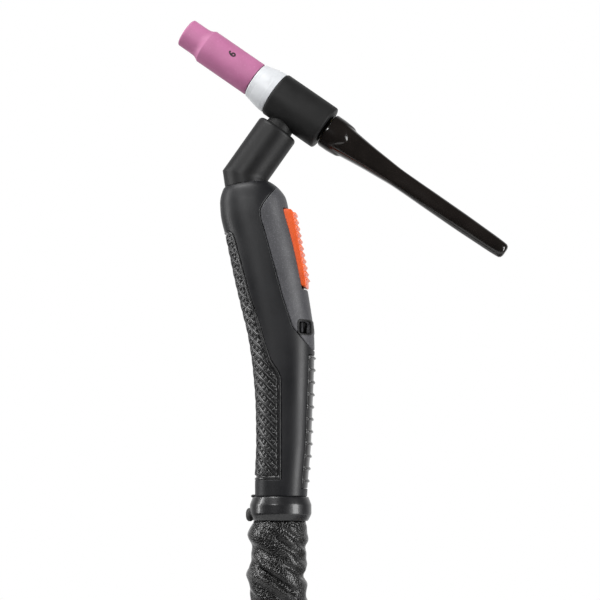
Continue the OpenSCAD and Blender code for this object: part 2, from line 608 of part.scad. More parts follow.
control_from = [128, 242.2, top_z + 4.2];
control_to = [246, 71, top_z + 9.4];
socket_way = unit([-5.9, -8.1, 0]);
CONTROL_ROUTE = concat(
    [control_from, control_from + 4 * boot_way],
    [for (a = [92:12:188]) ring_at(a, 124.6 - max(0, a - 128) * 0.05, top_z + 2.8)],
    [[255.4, 84.5, top_z + 6.8], control_to - 4 * socket_way, control_to]
);
module control_tail() color(grey) over_coil() swept(CONTROL_ROUTE, control_d / 2, 8);
module at_socket() over_coil() translate(control_to) rotate([0, 0, atan2(socket_way[1], socket_way[0])])
    rotate([0, 90, 0]) children();
module control_plug() color(black) at_socket() difference() {
    rotate_extrude() polygon([[0, 0.1], [4.2, 0.1], [5, 12], [7.6, 16], [7.6, 44], [0, 44]]);
    translate([0, 0, 36]) cylinder(r = 5.6, h = 10);
}
module control_contacts() color(brass) at_socket() for (i = [0:5]) rotate([0, 0, 60 * i])
    translate([3.2, 0, 36.05]) cylinder(r = 0.7, h = 6, $fn = 16);
module control_ring() color(steel) at_socket() ring(7.6 + run_gap, 9.1, 26, 43);

TIE_AT = [15, 70];
tie_t = 1.2;
module hose_ties() color([0.09, 0.09, 0.10]) for (a = TIE_AT) translate([ring_c[0], ring_c[1], 0]) rotate([0, 0, -a])
    translate([0.3 - (coil_r[0] + coil_r[1]) / 2, 10, (top_z + floor_z + 1.5) / 2]) rotate([90, 0, 0]) linear_extrude(20)
        difference() {
            square([coil_r[0] - coil_r[1] + hose_d + 2 * tie_t + 0.8, hose_d * coil_layers + 2 * tie_t + 0.2], center = true);
            square([coil_r[0] - coil_r[1] + hose_d + 0.8, hose_d * coil_layers + 0.2], center = true);
        }

head_body();
head_core();
swivel_stem();
stem_o_ring();
stem_clip();
cup_gasket();
nozzle();
collet_body();
collet();
electrode();
back_cap();
cap_o_ring();
neck_elbow();
head_socket();
neck_spigot();
neck_o_ring();
neck_clip();
neck_washer();
neck_bush();
handle_shell_near();
handle_shell_far();
handle_screws();
control_module();
latch_clip();
grip_inlay();
front_strip();
trigger();
trigger_pin();
switch_carrier();
micro_switch();
switch_plunger();
power_block();
inner_hose();
hose_ferrule();
switch_lead();
rear_collar();
hose_gland();
sleeve_tie();
leather_sleeve();
sleeve_cuff();
hose_lead();
hose_coil();
hose_rise();
hose_ties();
split_boot();
power_tail();
power_plug_grip();
power_plug_pin();
gas_o_ring();
control_tail();
control_plug();
control_contacts();
control_ring();
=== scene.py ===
"""Looks of a pistol-handled TIG welding torch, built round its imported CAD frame.

Lengths in the tables are millimetres, as in the part's source; a mesh is made in metres.
Origin: where the palm closes on the handle. +Z up to the head, +X towards the trigger, +Y the far side.
"""
import json
import math

import bpy
import numpy as np
from mathutils import Matrix, Vector, kdtree
from mathutils.geometry import delaunay_2d_cdt


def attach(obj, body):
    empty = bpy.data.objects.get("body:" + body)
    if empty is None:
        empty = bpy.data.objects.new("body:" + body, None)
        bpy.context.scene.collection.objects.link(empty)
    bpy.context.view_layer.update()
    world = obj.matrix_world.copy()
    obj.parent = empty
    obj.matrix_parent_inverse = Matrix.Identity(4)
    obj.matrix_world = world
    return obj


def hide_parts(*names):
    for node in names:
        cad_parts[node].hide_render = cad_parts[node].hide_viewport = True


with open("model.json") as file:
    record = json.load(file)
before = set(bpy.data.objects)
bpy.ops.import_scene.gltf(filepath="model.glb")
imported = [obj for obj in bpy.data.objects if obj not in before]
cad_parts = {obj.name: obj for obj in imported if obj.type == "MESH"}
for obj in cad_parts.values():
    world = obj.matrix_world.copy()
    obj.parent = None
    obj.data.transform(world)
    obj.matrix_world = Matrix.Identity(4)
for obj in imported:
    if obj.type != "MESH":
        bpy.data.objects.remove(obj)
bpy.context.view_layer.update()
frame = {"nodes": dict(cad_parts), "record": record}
scene = bpy.context.scene
MM = 0.001

# ---- camera ----
AIM = Vector((11.1, 0, 22.2)) * MM
CAMERA_DISTANCE = 1.4
CAMERA_AZIMUTH = math.radians(4.5)
CAMERA_ELEVATION = math.radians(-5)
CAMERA_LENS = 151.2


def make_camera():
    camera = bpy.data.objects.new("camera", bpy.data.cameras.new("camera"))
    scene.collection.objects.link(camera)
    back = Vector((
        math.sin(CAMERA_AZIMUTH) * math.cos(CAMERA_ELEVATION),
        -math.cos(CAMERA_AZIMUTH) * math.cos(CAMERA_ELEVATION),
        math.sin(CAMERA_ELEVATION),
    ))
    camera.location = AIM + back * CAMERA_DISTANCE
    camera.rotation_mode = "QUATERNION"
    camera.rotation_quaternion = (-back).to_track_quat("-Z", "Y")
    camera.data.lens = CAMERA_LENS
    camera.data.sensor_width = 36
    camera.data.clip_start = 0.01
    scene.camera = camera


make_camera()


# ---- finishes ----
class Wire:
    """A socket whose arithmetic adds Math nodes."""

    def __init__(self, finish, socket):
        self.finish = finish
        self.socket = socket

    def other(self, name):
        return Wire(self.finish, self.socket.node.outputs[name])

    def math(self, operation, *values):
        return self.finish.node("ShaderNodeMath", {"operation": operation}, dict(enumerate(values)))

    def __add__(self, value):
        return self.math("ADD", self, value)

    def __mul__(self, value):
        return self.math("MULTIPLY", self, value)

    __radd__ = __add__
    __rmul__ = __mul__


class Finish:
    """A material, with one call that adds any node to it."""

    def __init__(self, name):
        self.material = bpy.data.materials.new(name)
        self.material.use_nodes = True
        self.tree = self.material.node_tree
        self.tree.nodes.clear()
        self.place = self.node("ShaderNodeTexCoord", {}, {}).other("Object")

    def node(self, kind, settings, inputs):
        made = self.tree.nodes.new(kind)
        for key, value in settings.items():
            setattr(made, key, value)
        for key, value in inputs.items():
            if isinstance(key, int):
                socket = made.inputs[key]
            else:
                socket = next(s for s in made.inputs if s.enabled and key in (s.name, s.identifier))
            if isinstance(value, Wire):
                self.tree.links.new(value.socket, socket)
            else:
                socket.default_value = value
        return Wire(self, next(o for o in made.outputs if o.enabled)) if made.outputs else None

    def noise(self, scale, detail=3.0, roughness=0.55, distortion=0.0):
        inputs = {"Vector": self.place, "Scale": scale, "Detail": detail, "Roughness": roughness,
                  "Distortion": distortion}
        return self.node("ShaderNodeTexNoise", {}, inputs).other("Fac")

    def cells(self, scale, feature):
        inputs = {"Vector": self.place, "Scale": scale}
        return self.node("ShaderNodeTexVoronoi", {"feature": feature}, inputs).other("Distance")

    def between(self, value, low, high, to_low=0.0, to_high=1.0):
        inputs = {"Value": value, "From Min": low, "From Max": high, "To Min": to_low, "To Max": to_high}
        return self.node("ShaderNodeMapRange", {}, inputs)

    def blend(self, factor, first, second):
        inputs = {"Factor_Float": factor, "A_Color": first, "B_Color": second}
        return self.node("ShaderNodeMix", {"data_type": "RGBA"}, inputs)

    def own(self, attribute):
        return self.node("ShaderNodeAttribute", {"attribute_name": attribute}, {}).other("Fac")

    def bump(self, height, depth, strength=1.0, under=None):
        inputs = {"Height": height, "Distance": depth, "Strength": strength}
        if under is not None:
            inputs["Normal"] = under
        return self.node("ShaderNodeBump", {}, inputs)

    def close(self, **sockets):
        inputs = {name.replace("_", " "): value for name, value in sockets.items()}
        shader = self.node("ShaderNodeBsdfPrincipled", {}, inputs)
        self.node("ShaderNodeOutputMaterial", {}, {"Surface": shader})
        return self.material


def shade(colour, share):
    return tuple(min(1.0, c * share) for c in colour)


def clouded(f, scale, dark, light):
    """A base colour that drifts between two others in soft clouds."""
    return f.blend(f.between(f.noise(scale, 4), 0.3, 0.7), (*dark, 1), (*light, 1))


def moulded(name, colour, roughness, grain_mm=0.35, grain_depth=0.02, mottle=0.16, coat=0.0, specular=0.5,
            dusty=0.25):
    """Moulded plastic or rubber: faint clouding, a fine grain and handling marks in the gloss."""
    f = Finish(name)
    base = clouded(f, 90, shade(colour, 1 - mottle), shade(colour, 1 + mottle))
    dust = f.between(f.noise(700, 6, 0.7), 0.62, 0.74)
    base = f.blend(dust * dusty, base, (*shade(colour, 2.4), 1))
    marks = f.noise(45, 5, 0.65)
    gloss = f.between(marks, 0.3, 0.7, roughness * 0.86, roughness * 1.16)
    grain = f.noise(1 / (grain_mm * MM), 3, 0.6)
    normal = f.bump(grain, grain_depth * MM, 0.9)
    return f.close(Base_Color=base, Roughness=gloss, Normal=normal, Coat_Weight=coat, Coat_Roughness=0.06,
                   Specular_IOR_Level=specular)


def edged(name, colour, roughness, grain_mm, grain_depth, worn, speckle=0.0, specular=0.5, wear_mm=0.45):
    """Moulded cover whose edges are rubbed: the mesh's own rim_mm attribute says how far the edge is."""
    f = Finish(name)
    base = clouded(f, 70, shade(colour, 0.86), shade(colour, 1.14))
    if speckle:
        fleck = f.between(f.noise(1500, 2, 0.8), 0.56, 0.66)
        base = f.blend(fleck * speckle, base, (*shade(colour, 3.2), 1))
        pit = f.between(f.noise(1100, 2, 0.8, distortion=0.4), 0.60, 0.70)
        base = f.blend(pit * speckle, base, (*shade(colour, 0.25), 1))
    near_edge = f.between(f.own("rim_mm"), 0.1, wear_mm, 1.0, 0.0)
    wear_and_highlight_noise = f.between(f.noise(260, 5, 0.7), 0.38, 0.66)
    base = f.blend(near_edge * wear_and_highlight_noise * 0.7, base, (*worn, 1))
    gloss = f.between(f.noise(38, 5, 0.65), 0.3, 0.7, roughness * 0.85, roughness * 1.18)
    grain = f.noise(1 / (grain_mm * MM), 3, 0.6)
    normal = f.bump(grain, grain_depth * MM, 1.0)
    return f.close(Base_Color=base, Roughness=gloss, Normal=normal, Specular_IOR_Level=specular)


def metal(name, colour, roughness, grain_mm=0.12, tarnish=None, depth=0.006):
    """Turned or drawn metal: fine tool marks, patches of tarnish."""
    f = Finish(name)
    patch = f.between(f.noise(120, 5, 0.6), 0.42, 0.66)
    base = f.blend(patch * 0.5, (*colour, 1), (*(tarnish or shade(colour, 0.6)), 1))
    marks = f.noise(1 / (grain_mm * MM), 2, 0.5)
    gloss = f.between(patch + marks * 0.4, 0.0, 1.4, roughness * 0.8, roughness * 1.5)
    return f.close(Base_Color=base, Metallic=1.0, Roughness=gloss, Normal=f.bump(marks, depth * MM, 0.8))


def orange_finish():
    """Satin orange moulding, with a painted highlight in noisy patches on the crests of its ridges."""
    f = Finish("trigger_satin_orange")
    base = clouded(f, 80, (0.60, 0.075, 0.014), (0.72, 0.105, 0.020))
    wear_and_highlight_noise = f.between(f.noise(300, 5, 0.7), 0.3, 0.62)
    # painted highlight: the ridge crests are blended towards pale orange, in noisy patches
    base = f.blend(f.own("crest") * wear_and_highlight_noise * 0.8, base, (0.90, 0.24, 0.08, 1))
    gloss = f.between(f.noise(45, 5, 0.65), 0.3, 0.7, 0.30, 0.42)
    return f.close(Base_Color=base, Roughness=gloss, Normal=f.bump(f.noise(2000, 3), 0.012 * MM, 0.9))


def ceramic_finish():
    f = Finish("fired_alumina")
    cloud = f.noise(60, 5, 0.6)
    base = f.blend(f.between(cloud, 0.3, 0.7), (0.38, 0.125, 0.245, 1), (0.46, 0.155, 0.30, 1))
    speck = f.between(f.noise(900, 3, 0.7), 0.60, 0.72)
    base = f.blend(speck * 0.3, base, (0.62, 0.36, 0.48, 1))
    soot = f.between(f.noise(420, 4, 0.75), 0.64, 0.75)
    base = f.blend(soot * 0.3, base, (0.25, 0.10, 0.17, 1))
    gloss = f.between(f.noise(75, 4), 0.3, 0.7, 0.44, 0.62)
    grain = f.noise(3000, 3, 0.6)
    return f.close(Base_Color=base, Roughness=gloss, Normal=f.bump(grain, 0.02 * MM, 0.8),
                   Specular_IOR_Level=0.4)


PEBBLE_SCALE = 760


def leather_finish():
    """Oiled leather: pebbles between fine creases, worn lighter on the crests of the folds."""
    f = Finish("oiled_leather")
    pebble = f.cells(PEBBLE_SCALE, "F1")
    crease = f.cells(PEBBLE_SCALE, "DISTANCE_TO_EDGE")
    coarse = f.noise(240, 4, 0.6)
    base = f.blend(f.between(coarse, 0.3, 0.7), (0.003, 0.003, 0.003, 1), (0.008, 0.0078, 0.0078, 1))
    crest = f.between(f.own("crest"), 0.2, 1.0)
    base = f.blend(crest * f.between(f.noise(500, 4), 0.35, 0.65) * 0.3, base, (0.04, 0.039, 0.038, 1))
    gloss = f.between(f.noise(420, 4, 0.7), 0.3, 0.7, 0.13, 0.32)
    height = f.between(pebble, 0.0, 0.75, 1.0, 0.0) * 0.7 + f.between(crease, 0.0, 0.12) * 0.5
    normal = f.bump(height, 0.13 * MM, 1.0, f.bump(f.noise(230, 4), 0.3 * MM, 0.7))
    return f.close(Base_Color=base, Roughness=gloss, Normal=normal, Specular_IOR_Level=0.5)


def strap_finish():
    f = Finish("woven_strap")
    wave = f.node("ShaderNodeTexWave", {"wave_type": "BANDS", "bands_direction": "DIAGONAL"},
                  {"Vector": f.place, "Scale": 420.0, "Distortion": 0.6, "Detail": 1.0}).other("Fac")
    fuzz = f.noise(2200, 3, 0.7)
    base = f.blend(wave, (0.012, 0.012, 0.013, 1), (0.035, 0.035, 0.038, 1))
    return f.close(Base_Color=base, Roughness=f.between(fuzz, 0.3, 0.7, 0.8, 0.95),
                   Normal=f.bump(wave * 0.7 + fuzz * 0.3, 0.12 * MM, 0.9), Sheen_Weight=0.3)


BLACK_HEAD = moulded("head_grained_black", (0.010, 0.010, 0.010), 0.52, 0.30, 0.035, dusty=0.15,
                     specular=0.25)
BLACK_NECK = moulded("neck_satin_black", (0.006, 0.006, 0.0063), 0.47, 0.35, 0.02, dusty=0.08, specular=0.32)
BLACK_SHELL = edged("shell_satin_black", (0.006, 0.0062, 0.0075), 0.45, 0.35, 0.015, (0.04, 0.04, 0.045),
                    specular=0.4)
GREY_MODULE = edged("module_speckled_grey", (0.050, 0.050, 0.055), 0.52, 0.38, 0.03, (0.16, 0.16, 0.17),
                    speckle=0.5)
GRIP_RUBBER = edged("grip_moulded_rubber", (0.013, 0.013, 0.0135), 0.30, 0.3, 0.012, (0.08, 0.08, 0.08),
                    wear_mm=0.3)
SEAL_RUBBER = moulded("seal_rubber", (0.018, 0.018, 0.018), 0.55)
ORANGE = orange_finish()
CAP_GLOSS = moulded("cap_polished_phenolic", (0.0085, 0.0068, 0.0060), 0.17, 1.5, 0.0004, 0.2, dusty=0.0)
ALUMINA = ceramic_finish()
GASKET = moulded("gasket_white", (0.60, 0.615, 0.635), 0.36, 0.5, 0.008, 0.04, dusty=0.0)
BRASS = metal("turned_brass", (0.72, 0.50, 0.20), 0.24, tarnish=(0.40, 0.25, 0.10))
COPPER = metal("drawn_copper", (0.72, 0.33, 0.19), 0.28, tarnish=(0.35, 0.15, 0.10))
TUNGSTEN = metal("ground_tungsten", (0.35, 0.35, 0.36), 0.32)
STEEL = metal("bright_steel", (0.62, 0.63, 0.65), 0.2)
COLLAR = moulded("collar_satin_anodised", (0.010, 0.010, 0.011), 0.33, 0.5, 0.006, 0.2, coat=0.2, dusty=0.0)
DARK_STEEL = metal("latch_blackened_steel", (0.035, 0.035, 0.037), 0.45, tarnish=(0.015, 0.015, 0.015))
LEATHER = leather_finish()
HOSE_RUBBER = moulded("hose_extruded_rubber", (0.022, 0.022, 0.024), 0.42, 0.6, 0.02)
CABLE_GREY = moulded("cable_grey", (0.10, 0.10, 0.11), 0.45, 0.6, 0.015)
STRAP = strap_finish()
SEAL_RED = moulded("silicone_red", (0.50, 0.028, 0.018), 0.35, 0.5, 0.01)
INNER_GREY = moulded("inner_moulding_grey", (0.055, 0.055, 0.06), 0.5)
WHITE_PLASTIC = moulded("white_moulding", (0.7, 0.7, 0.67), 0.45, 0.5, 0.01, 0.05)
INK = moulded("ink_dark", (0.016, 0.008, 0.012), 0.6, 0.3, 0.004)

SLOT_FINISH = {
    "head_black": BLACK_HEAD, "neck_black": BLACK_NECK, "shell_black": BLACK_SHELL,
    "module_grey": GREY_MODULE, "grip_rubber": GRIP_RUBBER, "seal_rubber": SEAL_RUBBER,
    "trigger_orange": ORANGE, "cap_black": CAP_GLOSS,
    "ceramic_pink": ALUMINA, "gasket_white": GASKET, "brass": BRASS, "copper": COPPER,
    "tungsten": TUNGSTEN, "steel": STEEL, "collar_black": COLLAR, "leather_black": LEATHER,
    "hose_rubber": HOSE_RUBBER,
    "cable_grey": CABLE_GREY, "strap_black": STRAP, "seal_red": SEAL_RED, "inner_grey": INNER_GREY,
    "white_plastic": WHITE_PLASTIC,
}


def finish_cad_nodes():
    """Every CAD node takes the finish of its slot in the record, but for the latch clip, which takes
    blackened steel.
    """
    slot_of = {s["node"]: s["material_slot"] for s in frame["record"]["subparts"]}
    for name, node in frame["nodes"].items():
        finish = DARK_STEEL if name == "latch_clip" else SLOT_FINISH[slot_of[name]]
        node.data.materials.clear()
        node.data.materials.append(finish)


# ---- meshes ----
def new_mesh(name, points_mm, faces, sharp):
    """A mesh shaded smooth but for edges sharper than sharp degrees."""
    mesh = bpy.data.meshes.new(name)
    mesh.from_pydata((np.asarray(points_mm, float) * MM).tolist(), [], [list(map(int, f)) for f in faces])
    mesh.shade_smooth()
    mesh.set_sharp_from_angle(angle=math.radians(sharp))
    return mesh


def new_object(name, mesh):
    made = bpy.data.objects.new(name, mesh)
    scene.collection.objects.link(made)
    return made


def mesh_piece(name, points_mm, faces, finish, body, sharp=35.0, numbers=None):
    """A finished piece at the origin; numbers are its own attributes, one value a point."""
    mesh = new_mesh(name, points_mm, faces, sharp)
    for key, values in (numbers or {}).items():
        mesh.attributes.new(key, "FLOAT", "POINT").data.foreach_set("value", np.asarray(values, np.float32))
    mesh.materials.append(finish)
    piece = new_object(name, mesh)
    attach(piece, body)
    return piece


def smooth_steps(x, low, high):
    t = np.clip((x - low) / (high - low), 0, 1)
    return t * t * (3 - 2 * t)


def hump(x, middle, width):
    return np.exp(-((x - middle) / width) ** 2)


def rows_to_faces(rows, columns, wrap):
    """Quads of a grid stored row by row; wrap closes each row on itself."""
    r, c = np.meshgrid(np.arange(rows - 1), np.arange(columns if wrap else columns - 1), indexing="ij")
    a, b = r * columns + c, r * columns + (c + 1) % columns
    return np.stack([a, b, b + columns, a + columns], -1).reshape(-1, 4)


def end_caps(rows, columns):
    """The two faces that close a grid of wrapped rows at its ends."""
    return [list(range(columns))[::-1], [(rows - 1) * columns + k for k in range(columns)]]


def ring_seam(rows, columns):
    """The quads that join the last of the wrapped rows to the first."""
    last = (rows - 1) * columns
    return [(last + k, last + (k + 1) % columns, (k + 1) % columns, k) for k in range(columns)]


def lathe(profile, turns=96, wave=None, ring=False):
    """Points and faces of a profile (radius, height) turned about +Z, closed by end caps or as a ring.

    wave(radius, height, angle) may move the radius.
    """
    profile = np.asarray(profile, float)
    angle = np.arange(turns) * 2 * np.pi / turns
    radius = np.repeat(profile[:, :1], turns, 1)
    height = np.repeat(profile[:, 1:], turns, 1)
    if wave is not None:
        radius = wave(radius, height, angle[None, :])
    points = np.stack([radius * np.cos(angle), radius * np.sin(angle), height], -1).reshape(-1, 3)
    rows = len(profile)
    close = ring_seam if ring else end_caps
    return points, rows_to_faces(rows, turns, True).tolist() + close(rows, turns)


def turned(name, profile, where, finish, body, replaces, turns=128, wave=None, sharp=35.0):
    """A ring-like piece: a closed profile (radius, height) turned about the Z axis of the frame where."""
    points, faces = lathe(profile, turns, wave, ring=True)
    piece = mesh_piece(name, placed(points, where), faces, finish, body, sharp)
    face_outwards(piece)
    if replaces:
        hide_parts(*replaces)
    return piece


def along(origin, direction):
    """A frame at origin, in mm, whose Z axis runs along direction and whose X axis leans downwards."""
    z = Vector(direction).normalized()
    x = (Vector((0, 0, -1)) - z * -z.z).normalized()
    y = z.cross(x)
    return Matrix.Translation(origin) @ Matrix((x, y, z)).transposed().to_4x4()


def rounded_profile(corners, radius, steps=5):
    """A profile's corners, each cut by a small arc."""
    corners = np.asarray(corners, float)
    out = [corners[0]]
    for before, at, after in zip(corners[:-2], corners[1:-1], corners[2:]):
        reach = min(radius, 0.45 * np.linalg.norm(before - at), 0.45 * np.linalg.norm(after - at))
        start = at + (before - at) / np.linalg.norm(before - at) * reach
        end = at + (after - at) / np.linalg.norm(after - at) * reach
        for t in np.linspace(0, 1, steps):
            out.append((1 - t) ** 2 * start + 2 * t * (1 - t) * at + t * t * end)
    out.append(corners[-1])
    return np.array(out)


def placed(points, matrix):
    m = np.array(matrix)
    return points @ m[:3, :3].T + m[:3, 3]


# ---- cords: the hose package ----
FLOOR_Z = -280
HANDLE_DOWN = 86.7
COLLAR_LEN = 13.4
SLEEVE_TOP = -HANDLE_DOWN - COLLAR_LEN
DROP = 120              # radius of the sleeve's bend down to the floor
RING_R = 141            # on the floor the sleeve is a ring about the coil's middle
RING_C = (141, 120)
SLEEVE_END = 210        # degrees of that ring
SLEEVE_D = 30
SLEEVE_Z = FLOOR_Z + SLEEVE_D / 2
CUFF_LEN = 40
HOSE_D = 18
POWER_D, CONTROL_D = 11, 5
COIL_LIFT = 1.5         # the coil's lowest turns lie on the straps, this far off the floor
HOSE_Z = FLOOR_Z + COIL_LIFT + HOSE_D / 2
COIL_R = (115, 97)      # outer and inner turns
COIL_DEGREES = 3 * 360
TOP_Z = FLOOR_Z + COIL_LIFT + 2 * HOSE_D
LIFT_A = 98             # how far past its full turns the hose leaves the coil
BOOT_FROM = 62
BOOT_Z = TOP_Z + 12.2
CUFF_WAY = np.array([math.sin(math.radians(SLEEVE_END)), math.cos(math.radians(SLEEVE_END)), 0])
BOOT_WAY = np.array([math.sin(math.radians(BOOT_FROM)), math.cos(math.radians(BOOT_FROM)), 0])
PLUG_WAY = np.array([3.1, -9.5, 0]) / math.hypot(3.1, 9.5)
SOCKET_WAY = np.array([-5.9, -8.1, 0]) / math.hypot(5.9, 8.1)
POWER_FROM, POWER_TO = np.array([134, 231.2, TOP_Z + 7.2]), np.array([224, 190, TOP_Z + 13.2])
CONTROL_FROM, CONTROL_TO = np.array([128, 242.2, TOP_Z + 4.2]), np.array([246, 71, TOP_Z + 9.4])


def ring_at(angle, radius, z):
    a = math.radians(angle)
    return (RING_C[0] - radius * math.cos(a), RING_C[1] + radius * math.sin(a), z)


CUFF_AT = np.array(ring_at(SLEEVE_END, RING_R, SLEEVE_Z)) + 3 * CUFF_WAY


def over_coil(points):
    """What lies on top of the coil is turned about the coil's middle to where the hose leaves it."""
    a = math.radians(-LIFT_A)
    moved = []
    for x, y, z in points:
        x, y = x - RING_C[0], y - RING_C[1]
        moved.append((RING_C[0] + x * math.cos(a) - y * math.sin(a),
                      RING_C[1] + x * math.sin(a) + y * math.cos(a), z))
    return moved


def smooth_route(points, step):
    """A centripetal Catmull-Rom curve through the points, at even steps in mm."""
    p = np.asarray(points, float)
    p = np.vstack([2 * p[0] - p[1], p, 2 * p[-1] - p[-2]])
    fine = []
    for i in range(1, len(p) - 2):
        p0, p1, p2, p3 = p[i - 1:i + 3]
        t0 = 0
        t1 = t0 + np.linalg.norm(p1 - p0) ** 0.5
        t2 = t1 + np.linalg.norm(p2 - p1) ** 0.5
        t3 = t2 + np.linalg.norm(p3 - p2) ** 0.5
        t = np.linspace(t1, t2, 24, endpoint=False)[:, None]
        a1 = (t1 - t) / (t1 - t0) * p0 + (t - t0) / (t1 - t0) * p1
        a2 = (t2 - t) / (t2 - t1) * p1 + (t - t1) / (t2 - t1) * p2
        a3 = (t3 - t) / (t3 - t2) * p2 + (t - t2) / (t3 - t2) * p3
        b1 = (t2 - t) / (t2 - t0) * a1 + (t - t0) / (t2 - t0) * a2
        b2 = (t3 - t) / (t3 - t1) * a2 + (t - t1) / (t3 - t1) * a3
        fine.extend((t2 - t) / (t2 - t1) * b1 + (t - t1) / (t2 - t1) * b2)
    fine.append(p[-2])
    return even(fine, step)


def travel(points):
    """How far each point of a polyline is along it."""
    return np.concatenate([[0], np.cumsum(np.linalg.norm(np.diff(points, axis=0), axis=1))])


def even(points, step=0.6):
    """A polyline at even steps, its ends kept."""
    p = np.asarray(points, float)
    done = travel(p)
    at = np.linspace(0, done[-1], max(2, int(round(done[-1] / step)) + 1))
    return np.stack([np.interp(at, done, p[:, k]) for k in range(p.shape[1])], 1)


def carried_sides(path):
    """For each point of a path, two directions across it that turn as little as they can."""
    way = np.gradient(path, axis=0)
    way /= np.linalg.norm(way, axis=1)[:, None]
    side = np.empty_like(path)
    start = np.array([1.0, 0, 0]) if abs(way[0][0]) < 0.9 else np.array([0, 1.0, 0])
    for i, w in enumerate(way):
        start = start - (start @ w) * w
        start /= np.linalg.norm(start)
        side[i] = start
    return side, np.cross(way, side)


def tube(path, radius, around, wave=None):
    """Points and faces of a closed tube. wave(s, angle) in mm is added to its radius."""
    side, other = carried_sides(path)
    angle = np.arange(around) * 2 * np.pi / around
    s = travel(path)
    extra = np.zeros((len(path), around)) if wave is None else wave(s[:, None], angle[None, :])
    r = radius + extra
    points = (path[:, None] + r[..., None] * (np.cos(angle)[None, :, None] * side[:, None]
                                              + np.sin(angle)[None, :, None] * other[:, None]))
    faces = rows_to_faces(len(path), around, True).tolist() + end_caps(len(path), around)
    return points.reshape(-1, 3), faces, extra


# the leather's own tube is this much smaller, so that its folds can stand off it
SLACK = 0.3
# each fold of the sleeve near the handle: from (x, z) to (x, z) on the near side, width, depth
FOLDS = [
    (-10, -126.7, 9.4, -138.9, 1.5, 2.2), (-17, -112.6, -2, -120, 1.7, 1.2), (3, -104, 15, -113.9, 1.2, 1.1),
    (0, -111, 14, -121, 1.3, 1.2), (4, -124, 15, -130.6, 1.4, 1.5), (-15, -120, -4, -131, 1.2, 0.8),
    (-6, -104, 7, -116, 1.0, 0.6), (-18, -138, -6, -148, 1.8, 1.4), (2, -142, 15, -150, 1.6, 1.3),
    (-12, -104.5, -4, -109, 1.0, 0.5),
]


def sleeve_wave(s, angle):
    """How far the leather stands off its tube, in mm: bulges, folds and, past the bend, loose wrinkles."""
    z = SLEEVE_TOP - s
    x, near = SLEEVE_D / 2 * np.cos(angle), np.sin(angle)
    left, right = np.clip(-np.cos(angle), 0, 1), np.clip(np.cos(angle), 0, 1)
    out = 0.35 + left * (2.6 * hump(z, -107.5, 5) + 2.9 * hump(z, -130, 7) + 1.2 * hump(z, -146, 6))
    out = out - right * (1.1 * hump(z, -113.9, 2.2) + 1.0 * hump(z, -121, 2.2) + 1.5 * hump(z, -130.6, 2.8))
    out = out - 0.9 * hump(z, SLEEVE_TOP, 2.2)
    for x0, z0, x1, z1, width, depth in FOLDS:
        run, rise = x1 - x0, z1 - z0
        long = math.hypot(run, rise)
        length_way = ((x - x0) * run + (z - z0) * rise) / long
        across = ((x - x0) * rise - (z - z0) * run) / long
        reach = smooth_steps(length_way, -3, 3) * (1 - smooth_steps(length_way, long - 3, long + 3))
        lips = hump(across, 2.1 * width, 1.3 * width) + 0.6 * hump(across, -2.1 * width, 1.4 * width)
        dip = depth * (0.65 * lips - hump(across, 0, width))
        out = out + dip * reach * smooth_steps(near, 0.0, 0.35)
    twist = np.sin(0.104 * s + 2.0 * np.sin(angle + 0.03 * s))
    back = 1 - smooth_steps(near, -0.2, 0.4) * (1 - smooth_steps(s, 45, 70))
    ruck = np.sin(0.55 * s + 2.2 * np.cos(angle + 0.021 * s)) * (0.5 + 0.5 * np.sin(angle * 2 + 0.047 * s))
    out = out + back * (0.75 * ruck + 0.35 * twist) * smooth_steps(s, 2, 9)
    return out


def cord_piece(name, path, across, around, finish, replaced, wave=None):
    """A round cord along its path, in mm, that stands for its CAD solids."""
    points, faces, extra = tube(path, across / 2 - (SLACK if wave else 0), around, wave)
    points[:, 2] = np.maximum(points[:, 2], FLOOR_Z + 0.1)
    numbers = {"crest": np.clip((extra.ravel() - 0.3) / 2.2, 0, 1)} if wave else None
    piece = mesh_piece(name, points, faces, finish, "handle", 80, numbers)
    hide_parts(*replaced)


def sleeve_route():
    """Straight down from the collar, a quarter circle to the floor, then round the coil to the cuff."""
    points = [(0, 0, SLEEVE_TOP), (0, 0, -122), (0, 0, SLEEVE_Z + DROP)]
    for degrees in range(15, 76, 15):
        a = math.radians(degrees)
        points.append((0, DROP * (1 - math.cos(a)), SLEEVE_Z + DROP * (1 - math.sin(a))))
    points += [ring_at(a, RING_R, SLEEVE_Z) for a in range(0, SLEEVE_END + 1, 10)]
    return points + [tuple(CUFF_AT)]


